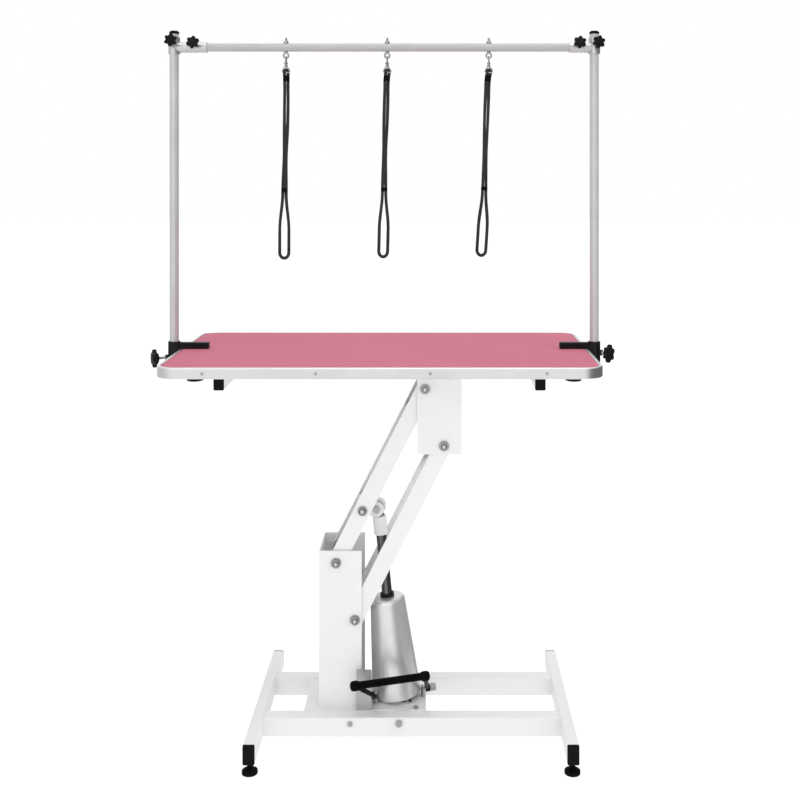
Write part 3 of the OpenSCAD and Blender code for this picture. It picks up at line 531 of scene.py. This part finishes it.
# ---- clamp screws: scalloped hand wheel, threaded stem, swivel pad
def clamp_screw(side, x):
    m = Matrix.Translation((x, 0, 0))
    rr = [(9, 0, 937.4), (17.5, 0, 937.2), (19.6, 0.6, 937.5), (20.6, 1.5, 938.6), (21.0, 1.6, 940.2), (21.0, 1.6, 949.6), (20.6, 1.5, 951.4), (19.4, 0.6, 952.6), (14, 0, 952.9), (10.5, 0, 953.1), (9.6, 0, 954.4),
          (9.0, 0, 957.0), (8.2, 0, 957.8), (5.8, 0, 958.0)]
    v, f = lobed_rings([(a * MM, b * MM, c * MM) for a, b, c in rr], 192, 16)
    o = mesh_from("clamp_wheel_" + side, v, f); sharp_by_angle(o, 55); place(o, m)
    body = "clamp_screw_" + side
    put(o, body, M["knob"], "knob_black", "clamp_screw_left" if side == "l" else "clamp_screw_right")
    put(screw_thread("clamp_stem_" + side, m, 5.9, 957.5, 996.0, 1.75, 28), body, M["zinc"], "zinc")
    pad = lathe("clamp_pad_" + side, [(0, .9945), (.006, .9945), (.008, .9950), (.009, .9962), (.0125, .9968), (.0137, .9975), (.0140, .9985), (.0140, 1.0002), (.0135, 1.0008), (0, 1.0009)], 48)
    sharp_by_angle(pad, 50); place(pad, m)
    put(pad, body, M["cap"], "knob_black")
clamp_screw("l", -0.518)
clamp_screw("r", 0.518)

# ---- nooses
hang = BAR_Z - 0.022 - 0.007
hook_c = hang + 0.0046 - 0.008

def webbing_material():
    m, nt, b = new_mat("noose_webbing")
    uv = N(nt, "ShaderNodeUVMap", uv_map="along")
    sep = N(nt, "ShaderNodeSeparateXYZ"); nt.links.new(uv.outputs[0], sep.inputs[0])
    def mul(s, k):
        q = N(nt, "ShaderNodeMath", operation="MULTIPLY"); q.inputs[1].default_value = k; nt.links.new(s, q.inputs[0]); return q.outputs[0]
    def op(kind, a, c):
        q = N(nt, "ShaderNodeMath", operation=kind); nt.links.new(a, q.inputs[0])
        if isinstance(c, float): q.inputs[1].default_value = c
        else: nt.links.new(c, q.inputs[1])
        return q.outputs[0]
    def sin_(a):
        q = N(nt, "ShaderNodeMath", operation="SINE"); nt.links.new(a, q.inputs[0]); return q.outputs[0]
    along = mul(sep.outputs["X"], 2 * pi / 0.0028)
    around = mul(sep.outputs["Y"], 2 * pi * 10)
    w1 = sin_(op("ADD", along, around))
    w2 = sin_(op("SUBTRACT", along, around))
    weave = op("MAXIMUM", w1, w2)
    fuzz = tex_noise(nt, coords(nt), 1400.0, 2.0)
    big = tex_noise(nt, coords(nt), 30.0, 3.0)
    c = mix_col(nt, ramp(nt, weave, 0.0, 1.0, -0.6, 1.0), (0.006, 0.006, 0.007), (0.030, 0.030, 0.032))
    c = mix_col(nt, ramp(nt, big, 0.0, 0.4, 0.4, 0.75), c, (0.05, 0.05, 0.052))
    nt.links.new(c, b.inputs["Base Color"])
    nt.links.new(ramp(nt, fuzz, 0.6, 0.8, 0.3, 0.7), b.inputs["Roughness"])
    b.inputs["Sheen Weight"].default_value = 0.25
    b.inputs["Sheen Roughness"].default_value = 0.4
    b.inputs["Specular IOR Level"].default_value = 0.3
    n1 = bump(nt, weave, 0.9, 0.0006)
    nt.links.new(bump(nt, fuzz, 0.3, 0.0003, n1), b.inputs["Normal"])
    return m
M["web"] = webbing_material()

def flat_section(w, t, n=6):
    """Rounded flat webbing section, w wide (normal direction) and t thick."""
    pts = []
    for side, s in ((1, 1), (-1, -1)):
        cx = s * (w / 2 - t / 2)
        for k in range(n + 1):
            a = -pi / 2 + pi * k / n if s > 0 else pi / 2 + pi * k / n
            pts.append((cx + t / 2 * cos(a), t / 2 * sin(a)))
    return pts

def noose(tag, x0, lean, widen, phase, depth_y, z_bot, off=0.0):
    """A loop of flat webbing over the swivel eye, two strands hanging together and parting into the loop below."""
    z_top = 1.7890
    H = z_top - z_bot
    def centre(u):                       # u = 0 at the top, 1 at the bottom
        k = min(1.0, u / 0.07)
        return -lean * u ** 1.5 - off * k * k * (3 - 2 * k) + 0.0012 * sin(u * 7 + phase), depth_y * sin(u * 3.1 + phase) * 0.5
    def half(u):
        pinch = 0.0047 - 0.0018 * math.exp(-((u - 0.46) / 0.12) ** 2) - 0.0004 * math.exp(-((u - 0.10) / 0.05) ** 2)
        t = min(1.0, max(0.0, (u - 0.66) / 0.19))
        return pinch + widen * (t * t * (3 - 2 * t))
    path, tw = [], []
    n = 120
    ub = 1 - 0.030
    for i in range(n + 1):               # down the left strand
        u = 0.012 + (ub - 0.012) * i / n
        cx_, cy_ = centre(u)
        path.append(Vector((x0 + cx_ - half(u), cy_ - 0.0016 * (1 - min(1, u * 1.2)), z_top - H * u)))
        tw.append(u)
    cx_, cy_ = centre(ub)
    R = half(ub)
    for k in range(1, 16):               # round the bottom
        a = pi + pi * k / 16
        path.append(Vector((x0 + cx_ + R * cos(a), cy_, z_top - H * ub + H * 0.030 * sin(a))))
        tw.append(1.0)
    for i in range(n, -1, -1):           # up the right strand
        u = 0.012 + (ub - 0.012) * i / n
        cx_, cy_ = centre(u)
        path.append(Vector((x0 + cx_ + half(u), cy_ + 0.0016 * (1 - min(1, u * 1.2)), z_top - H * u)))
        tw.append(2 - u)
    cx_, cy_ = centre(0.012)
    R = half(0.012)
    for k in range(1, 10):               # over the eye
        a = pi * k / 10
        path.append(Vector((x0 + cx_ + R * cos(a), cy_ + 0.0016 * cos(a), z_top - H * 0.012 + 0.0052 * sin(a))))
        tw.append(0.0)
    # the flat of the webbing faces the viewer at the top and turns slowly on the way down
    def turn(s):
        u = s if s <= 1 else 2 - s
        k = 1 if s <= 1 else -1
        return k * (1.05 * sin(u * 9.0 + phase) * u * (1 - u) * 2.2)
    twist = [turn(s) for s in tw]
    T, Nn, B = frames_along(path, (0, 1, 0), True)
    sec = flat_section(0.0090, 0.0026)
    m = len(sec)
    verts, faces = [], []
    L = [0.0]
    for i, p in enumerate(path):
        if i: L.append(L[-1] + (p - path[i - 1]).length)
        t = T[i]
        # width lies in the plane of the loop, seen from the front
        wdir = Vector((0, 1, 0)).cross(t).normalized()
        ndir = t.cross(wdir).normalized()
        q = Quaternion(t, twist[i])
        wdir, ndir = q @ wdir, q @ ndir
        for a, c in sec:
            verts.append(p + wdir * a + ndir * c)
    n_ = len(path)
    for i in range(n_):
        i2 = (i + 1) % n_
        for j in range(m):
            k = (j + 1) % m
            faces.append((i * m + j, i * m + k, i2 * m + k, i2 * m + j))
    o = mesh_from("noose_strap_" + tag, verts, faces)
    L.append(L[-1] + (path[0] - path[-1]).length)
    layer = o.data.uv_layers.new(name="along")
    for poly in o.data.polygons:
        vi = [o.data.loops[l].vertex_index for l in poly.loop_indices]
        rows = [v // m for v in vi]; cols = [v % m for v in vi]
        for l, r, c in zip(poly.loop_indices, rows, cols):
            rr = n_ if (r == 0 and (n_ - 1) in rows) else r
            cc = m if (c == 0 and (m - 1) in cols) else c
            layer.data[l].uv = (L[rr], cc / m)
    put(o, "noose_" + tag, M["web"], "strap_black", {"l": "noose_left", "m": "noose_middle", "r": "noose_right"}[tag])
    # stitched keeper that holds the two strands together under the eye, and the slider above the loop
    for nm, uu, hh, ww in (("keeper", 0.047, 0.0080, 0.0088), ("slider", 0.640, 0.0052, 0.0090)):
        cx_, cy_ = centre(uu)
        zc = z_top - H * uu
        ring = []
        prof = [(0.80, -1.0), (0.95, -0.86), (1.0, -0.6), (0.985, -0.2), (1.0, 0.1), (0.985, 0.45), (1.0, 0.7), (0.93, 0.9), (0.80, 1.0)]
        vs, fs = [], []
        nn = 40
        for s, h in prof:
            for i in range(nn):
                a = 2 * pi * i / nn
                ca, sa = cos(a), sin(a)
                rx = ww * s; ry = 0.0052 * s
                e = (abs(ca) ** 3.0 + abs(sa) ** 3.0) ** (-1 / 3.0)
                vs.append((x0 + cx_ + rx * ca * e, cy_ + ry * sa * e, zc + h * hh))
        for k in range(len(prof) - 1):
            for i in range(nn):
                j = (i + 1) % nn
                fs.append((k * nn + i, k * nn + j, (k + 1) * nn + j, (k + 1) * nn + i))
        fs.append(tuple(range(nn - 1, -1, -1)))
        fs.append(tuple(range((len(prof) - 1) * nn, len(prof) * nn)))
        ko = mesh_from("noose_%s_%s" % (nm, tag), vs, fs)
        put(ko, "noose_" + tag, M["cap"], "strap_black")
    # swivel eye: a D-ring hanging from the barrel, in the plane of the loop
    zt, zb = 1.7955, 1.7805
    pts = round_path([(x0 - 0.0045, 0, zt), (x0 + 0.0045, 0, zt), (x0 + 0.0105, 0, zb + 0.004), (x0 + 0.0085, 0, zb), (x0 - 0.0085, 0, zb), (x0 - 0.0105, 0, zb + 0.004), (x0 - 0.0045, 0, zt)], 0.004, 5)
    pts = pts[:-1]
    dr = sweep("swivel_eye_" + tag, pts, circ(0.0017, 14), up=(0, 1, 0), closed=True)
    stud = lathe("swivel_stud_" + tag, [(0, zt - .0012), (.0036, zt - .0010), (.0040, zt + .0002), (.0040, zt + .0022), (.0030, zt + .0032), (.0018, zt + .0040), (.0018, zt + .0068), (0, zt + .0068)], 28)
    place(stud, Matrix.Translation((x0, 0, 0)))
    eye = join("swivel_eye_%s" % tag, [dr, stud]); sharp_by_angle(eye, 55)
    put(eye, "noose_" + tag, M["zinc"], "zinc")
    # snap hook, hanging edge-on from the eyebolt
    hz = hook_c
    W = 0.0020
    arc = [(0.0, hz - 0.0090), (0.0045, hz - 0.0082), (0.0078, hz - 0.0045)]
    path = [Vector((x0, y, z)) for y, z in arc]
    for k in range(0, 19):
        a = -0.15 + (pi + 0.30) * k / 18
        path.append(Vector((x0, 0.0080 * cos(a), hz + 0.0080 * sin(a))))
    path += [Vector((x0, -0.0080, hz - 0.0030)), Vector((x0, -0.0076, hz - 0.0042))]
    hook = sweep("hk", path, circ(W, 16), up=(1, 0, 0), scale=[1] * (len(path) - 2) + [0.95, 0.7])
    gate = lathe("gt", [(0, 0), (.0013, 0.0001), (.0016, .0005), (.0016, .0062), (.0013, .0068), (0, .0069)], 20)
    place(gate, Matrix.Translation((x0, -0.0072, hz - 0.0112)))
    zb_ = hz - 0.0080
    barrel = lathe("br", [(0, zb_), (.0032, zb_ - .0002), (.0045, zb_ - .0012), (.0048, zb_ - .0030), (.0040, zb_ - .0044), (.0037, zb_ - .0062), (.0042, zb_ - .0078), (.0048, zb_ - .0088),
                          (.0048, zb_ - .0108), (.0042, zb_ - .0118), (.0022, zb_ - .0122), (0, zb_ - .0122)], 36)
    place(barrel, Matrix.Translation((x0, 0, 0)))
    shell = sweep("sh", [Vector((x0, -0.0058, hz - 0.0052)), Vector((x0, -0.0060, hz - 0.0085)), Vector((x0, -0.0046, hz - 0.0125)), Vector((x0, -0.0024, hz - 0.0150))], circ(0.0026, 18), up=(1, 0, 0),
                  scale=[0.85, 1.0, 1.0, 0.8])
    thumb = sweep("th", [Vector((x0, -0.0070, hz - 0.0100)), Vector((x0 - 0.0030, -0.0085, hz - 0.0108)), Vector((x0 - 0.0052, -0.0088, hz - 0.0116))], circ(0.0013, 12), up=(0, 0, 1), scale=[1, 1, 1.35])
    hk = join("snap_body_" + tag, [hook, gate, barrel, shell, thumb]); sharp_by_angle(hk, 50)
    put(hk, "hook_" + tag, M["zinc"], "zinc", {"l": "snap_hook_left", "m": "snap_hook_middle", "r": "snap_hook_right"}[tag])

noose("l", -0.269, 0.006, 0.0078, 0.4, 0.003, 1.2725)
noose("m", 0.008, 0.010, 0.0074, 1.3, -0.003, 1.2760, 0.0027)
noose("r", 0.286, 0.018, 0.0074, 2.2, 0.003, 1.2800, 0.0035)

# ---- foot pedal: bent bail, ribbed sleeve, end knobs
PO = Vector((0.042, -0.030, 0.100))
PD = Vector((cos(radians(17)), sin(radians(17)), 0))
PL, PR, PK = Vector((-0.069, -0.160, 0.177)), Vector((0.112, -0.105, 0.177)), Vector((-0.014, -0.104, 0.121))
E1, E2 = PO - PD * 0.0755, PO + PD * 0.0795
def pedal():
    parts = []
    bar = (PR - PL).normalized()
    left = round_path([PL + bar * 0.010, PL + (PK - PL) * 0.12, PK, E1 + (PK - E1).normalized() * 0.0085], 0.022, 8)
    parts.append(sweep("p1", left, circ(0.0060, 20), up=(0, 0, 1)))
    right = round_path([PR - bar * 0.010, PR + (E2 - PR) * 0.10, E2 + (PR - E2).normalized() * 0.0085], 0.014, 6)
    parts.append(sweep("p2", right, circ(0.0060, 20), up=(0, 0, 1)))
    for i, e in enumerate((E1, E2)):
        prof = [(.00515, -.006), (.0085, -.006), (.0096, -.0055), (.0100, -.0045), (.0100, .0045), (.0096, .0055), (.0085, .006), (.00515, .006)]
        ring = lathe("p3%d" % i, prof, 40, closed=True)
        place(ring, axis_matrix(e, PD))
        parts.append(ring)
    frame_ = join("pedal_bail_rod", parts); sharp_by_angle(frame_, 45)
    put(frame_, "pedal_bail", M["clamp"], "clamp_black", "pedal")
    L = (PR - PL).length
    prof = [(0, -.0125), (.0060, -.0122), (.0102, -.0104), (.0122, -.0070), (.0126, -.0030), (.0126, .0050), (.0118, .0082), (.0102, .0100)]
    z = 0.0125
    while z < L - 0.0135:
        prof += [(.0096, z), (.0096, z + .0016), (.0090, z + .0021), (.0090, z + .0027)]
        z += 0.0032
    prof += [(.0102, L - .0100), (.0118, L - .0082), (.0126, L - .0050), (.0126, L + .0030), (.0122, L + .0070), (.0102, L + .0104), (.0060, L + .0122), (0, L + .0125)]
    s = lathe("pedal_sleeve", prof, 48)
    place(s, axis_matrix(PL, bar))
    sharp_by_angle(s, 50)
    put(s, "pedal_bail", M["foot"], "clamp_black")
pedal()

# ---- weld beads
def weld(pts, r=0.0022, step=0.0030, seed=0):
    """A rippled bead along a polyline."""
    pts = [Vector(p) for p in pts]
    path = []
    for a, b in zip(pts, pts[1:]):
        n = max(2, int((b - a).length / (step / 4)))
        for i in range(n): path.append(a.lerp(b, i / n))
    path.append(pts[-1])
    sc, d = [], 0.0
    for i, p in enumerate(path):
        if i: d += (p - path[i - 1]).length
        w = 0.5 + 0.5 * cos(2 * pi * d / step)
        e = min(1.0, (i + 1) / 5, (len(path) - i) / 5)
        sc.append((0.84 + 0.16 * w ** 2 + 0.06 * noise.noise(Vector((d * 300 + seed, seed * 3.7, 0)))) * (0.35 + 0.65 * e))
    return sweep("w", path, circ(r, 12), up=(0.13, 0.27, 0.95), scale=sc)
def welds(name, body, lines, r=0.0022):
    o = join(name, [weld(l, r, seed=i) for i, l in enumerate(lines)])
    put(o, body, M["white"], "frame_white")
bx = [(-0.312, 1), (0.468, -1)]
lines = []
for x, s in bx:
    for yb in (-0.111, 0.111):
        for y in (yb - 0.020, yb + 0.020):
            lines.append([(x, y, 0.034), (x, y, 0.0775)])
        lines.append([(x, yb - 0.0185, 0.080), (x, yb + 0.0185, 0.080)])
for y in (-0.0760, 0.0760):
    lines.append([(-0.171, y, 0.080), (-0.057, y, 0.080)])
lines.append([(-0.171, -0.0745, 0.080), (-0.171, 0.0745, 0.080)])
for y in (-0.091, 0.091):
    for x0, x1 in ((-0.205, -0.150), (-0.02, 0.03), (0.070, 0.108)):
        lines.append([(x0, y, 0.0800), (x1, y, 0.0800)])
welds("base_welds", "base", lines)
lines = []
for s in (-1, 1):
    for j in (-1, 1):
        x = s * 0.3875
        for y in (j * 0.060 - 0.0125, j * 0.060 + 0.0125):
            lines.append([(x, y, 0.9675), (x, y, 0.9985)])
for y in (-0.0760, 0.0760):
    lines.append([(0.091, y, 0.959), (0.210, y, 0.959)])
for y in (-0.0725, 0.0725):
    for x0, x1 in ((0.064, 0.110), (0.190, 0.236)):
        lines.append([(x0, y, 0.965), (x1, y, 0.965)])
welds("table_frame_welds", "table", lines)

# ---- dark nut under the eye of the rod head; its dark finish is also painted shade that stands in for the shadowed gap between the collar and the eye
B0, E0 = Vector((0.033, 0, 0.098)), Vector((-0.016, 0, 0.5953))
RD = (E0 - B0).normalized()
RL = (E0 - B0).length
# painted shade: this dark hex nut also fills the shaded gap between the rod head's collar and its eye
nut = lathe("rod_head_nut_gap_shade", [(.0101, .0), (.0118, .0), (.0128, .0008), (.0130, .0018), (.0130, .0052), (.0126, .0062), (.0116, .0068), (.0101, .0068)], 6, closed=True)
for p in nut.data.polygons: p.use_smooth = False
place(nut, axis_matrix(B0 + RD * (RL - 0.0268), RD))
bevel(nut, 0.0004, 2)
put(nut, "ram_rod", M["rod"], "rod_dark")

# ---- ribbed rubber mat
def mat_sheet():
    lo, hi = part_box("rubber_mat")
    hx, hy = (hi.x - lo.x) / 2, (hi.y - lo.y) / 2
    R = 0.0408
    z0, z1 = lo.z, hi.z
    pitch = 0.0050
    def ext(y, inset):
        a = hx - inset; r = R - inset
        yy = abs(y); e = (hy - inset) - r
        if yy <= e: return a
        d = min(r, yy - e)
        return a - r + math.sqrt(max(0.0, r * r - d * d))
    rows = []
    n = int(round(2 * (hy - 0.0022) / (pitch / 4)))
    for i in range(n + 1):
        y = -(hy - 0.0022) + 2 * (hy - 0.0022) * i / n
        k = (i % 4)
        h = {0: -0.00035, 1: -0.00008, 2: 0.0, 3: -0.00008}[k]
        if i in (0, n): h = 0.0
        rows.append((y, h))
    verts, faces = [], []
    cols = 9
    for y, h in rows:
        e = ext(y, 0.0022)
        for c in range(cols):
            verts.append((-e + 2 * e * c / (cols - 1), y, z1 + h))
    for i in range(len(rows) - 1):
        for c in range(cols - 1):
            a = i * cols + c
            faces.append((a, a + 1, a + cols + 1, a + cols))
    top_loop = [c for c in range(cols)] + [i * cols + cols - 1 for i in range(1, len(rows))] + [(len(rows) - 1) * cols + c for c in range(cols - 2, -1, -1)] + [i * cols for i in range(len(rows) - 2, 0, -1)]
    prev = top_loop
    def push(v, inset, z):
        # moves a rim point outwards to the given inset
        x, y, _ = v
        ex, ey = hx - R, hy - R
        cx_ = max(-ex, min(ex, x)); cy_ = max(-ey, min(ey, y))
        d = Vector((x - cx_, y - cy_))
        if d.length < 1e-6:
            return (x, y, z)
        d.normalize()
        return (cx_ + d.x * (R - inset), cy_ + d.y * (R - inset), z)
    for inset, dz in ((0.0012, -0.0003), (0.0004, -0.0009), (0.0001, -0.0016), (0.0001, z0 - z1 + 0.0001)):
        cur = []
        for vi in top_loop:
            cur.append(len(verts)); verts.append(push(verts[vi], inset, z1 + dz))
        for i in range(len(cur)):
            j = (i + 1) % len(cur)
            faces.append((prev[i], cur[i], cur[j], prev[j]))
        prev = cur
    faces.append(tuple(prev))
    o = mesh_from("mat_sheet", verts, faces)
    sharp_by_angle(o, 60)
    put(o, "table", M["mat"], "mat_pink", "rubber_mat")
mat_sheet()

# ------------------------------------------------------------------ stage
floor_me = bpy.data.meshes.new("floor")
floor_me.from_pydata([(-30, -30, 0), (30, -30, 0), (30, 30, 0), (-30, 30, 0)], [], [(0, 1, 2, 3)])
floor = link("floor", floor_me)
fm, fnt, fb = new_mat("floor_pale")
fb.inputs["Base Color"].default_value = (0.50, 0.50, 0.50, 1)
fb.inputs["Emission Color"].default_value = (1, 1, 1, 1)
fb.inputs["Roughness"].default_value = 0.9
fb.inputs["Specular IOR Level"].default_value = 0.0
def walls_of(nt, x, z):
    """How dark the mirrored studio is towards direction x, z: darker walls stand to the left and right."""
    def m(kind, a, b=None):
        q = N(nt, "ShaderNodeMath", operation=kind)
        for k_, v_ in enumerate((a, b)):
            if v_ is None: continue
            if isinstance(v_, float): q.inputs[k_].default_value = v_
            else: nt.links.new(v_, q.inputs[k_])
        return q.outputs[0]
    def r(v_, lo_, hi_, a, b):
        q = N(nt, "ShaderNodeMapRange", interpolation_type="SMOOTHSTEP")
        nt.links.new(v_, q.inputs["Value"])
        for k_, x_ in (("From Min", lo_), ("From Max", hi_), ("To Min", a), ("To Max", b)): q.inputs[k_].default_value = x_
        return q.outputs["Result"]
    side = m("ADD", m("MULTIPLY", r(x, 0.15, 0.60, 0.0, 1.0), 0.78), m("MULTIPLY", r(x, -0.90, -0.45, 1.0, 0.0), 0.30))
    low_ = r(m("ABSOLUTE", z), 0.55, 0.92, 1.0, 0.0)
    return m("SUBTRACT", 0.95, m("MULTIPLY", side, low_))
flp = N(fnt, "ShaderNodeLightPath")
fgeo = N(fnt, "ShaderNodeNewGeometry")
fsx = N(fnt, "ShaderNodeSeparateXYZ"); fnt.links.new(fgeo.outputs["Incoming"], fsx.inputs[0])
fneg = N(fnt, "ShaderNodeMath", operation="MULTIPLY"); fneg.inputs[1].default_value = -1.0
fnt.links.new(fsx.outputs["X"], fneg.inputs[0])
fmir = walls_of(fnt, fneg.outputs[0], fsx.outputs["Z"])
fmix = N(fnt, "ShaderNodeMix", data_type="FLOAT")
fnt.links.new(flp.outputs["Is Glossy Ray"], fmix.inputs[0])
fmix.inputs[2].default_value = 0.68
fsub = N(fnt, "ShaderNodeMath", operation="SUBTRACT"); fsub.inputs[1].default_value = 0.30
fnt.links.new(fmir, fsub.inputs[0])
fnt.links.new(fsub.outputs[0], fmix.inputs[3])
fnt.links.new(fmix.outputs[0], fb.inputs["Emission Strength"])
fcol = mix_col(fnt, flp.outputs["Is Glossy Ray"], (0.50, 0.50, 0.50), (0.25, 0.25, 0.25))
fnt.links.new(fcol, fb.inputs["Base Color"])
floor.data.materials.append(fm)

world = bpy.data.worlds.new("studio")
world.use_nodes = True
wt = world.node_tree
bg = wt.nodes["Background"]
def wmath(kind, a, b=None, c=None):
    q = wt.nodes.new("ShaderNodeMath"); q.operation = kind
    for k, v in enumerate((a, b, c)):
        if v is None: continue
        if isinstance(v, float): q.inputs[k].default_value = v
        else: wt.links.new(v, q.inputs[k])
    return q.outputs[0]
tc = wt.nodes.new("ShaderNodeTexCoord")
sx = wt.nodes.new("ShaderNodeSeparateXYZ"); wt.links.new(tc.outputs["Generated"], sx.inputs[0])
lp = wt.nodes.new("ShaderNodeLightPath")
# what shiny things mirror: bright studio with darker walls to the left and right
mirror = walls_of(wt, sx.outputs["X"], sx.outputs["Z"])
soft = wmath("ADD", 0.87, 0.0)
g = lp.outputs["Is Glossy Ray"]
v = wmath("ADD", wmath("MULTIPLY", g, mirror), wmath("MULTIPLY", wmath("SUBTRACT", 1.0, g), soft))
k = lp.outputs["Is Camera Ray"]
v = wmath("ADD", k, wmath("MULTIPLY", wmath("SUBTRACT", 1.0, k), v))
wt.links.new(v, bg.inputs[1])
bg.inputs[0].default_value = (1, 1, 1, 1)
scene.world = world

def area(name, loc, target, size, power, size_y=None):
    l = bpy.data.lights.new(name, "AREA")
    l.shape = "RECTANGLE"; l.size = size; l.size_y = size_y or size
    l.energy = power
    o = bpy.data.objects.new(name, l)
    scene.collection.objects.link(o)
    o.location = loc
    o.rotation_mode = "QUATERNION"
    o.rotation_quaternion = (Vector(target) - Vector(loc)).to_track_quat("-Z", "Y")
    return o
area("key", (-2.0, -4.2, 2.6), (0, 0, 0.8), 2.6, 8)
area("fill", (1.4, -4.6, 1.2), (0.1, 0, 0.7), 2.4, 5)
area("top", (0.4, -0.4, 4.2), (0, 0, 0.8), 3.0, 24)

side_light = area("side", (2.8, -0.8, 1.7), (-0.1, 0, 0.4), 2.0, 13)
side_light.visible_glossy = False

scene.view_settings.view_transform = "Standard"

cam_data = bpy.data.cameras.new("camera")
cam = bpy.data.objects.new("camera", cam_data)
scene.collection.objects.link(cam)
cam_data.sensor_width = 36.0
cam_data.lens = 1081.0 * 36.0 / 800.0
cam.location = (0.128, -2.960, 1.511)
cam.rotation_mode = "QUATERNION"
cam.rotation_quaternion = Quaternion((1, 0, 0), radians(90))
cam_data.clip_start, cam_data.clip_end = 0.05, 100
scene.camera = cam

# the rising front of the picture is a lens shift, which applies only at this standpoint
def shift_driver(prop, value):
    d = cam_data.driver_add(prop).driver
    d.type = "SCRIPTED"
    for i, ch in enumerate(("LOC_X", "LOC_Y", "LOC_Z")):
        v = d.variables.new()
        v.name = "xyz"[i]
        v.type = "TRANSFORMS"
        v.targets[0].id = cam
        v.targets[0].transform_type = ch
        v.targets[0].transform_space = "WORLD_SPACE"
    d.expression = "%.5f if abs(x-0.128)+abs(y+2.96)+abs(z-1.511) < 0.002 else 0.0" % value
shift_driver("shift_x", (400 - 431) / 800)
shift_driver("shift_y", -(400 - 171) / 800)
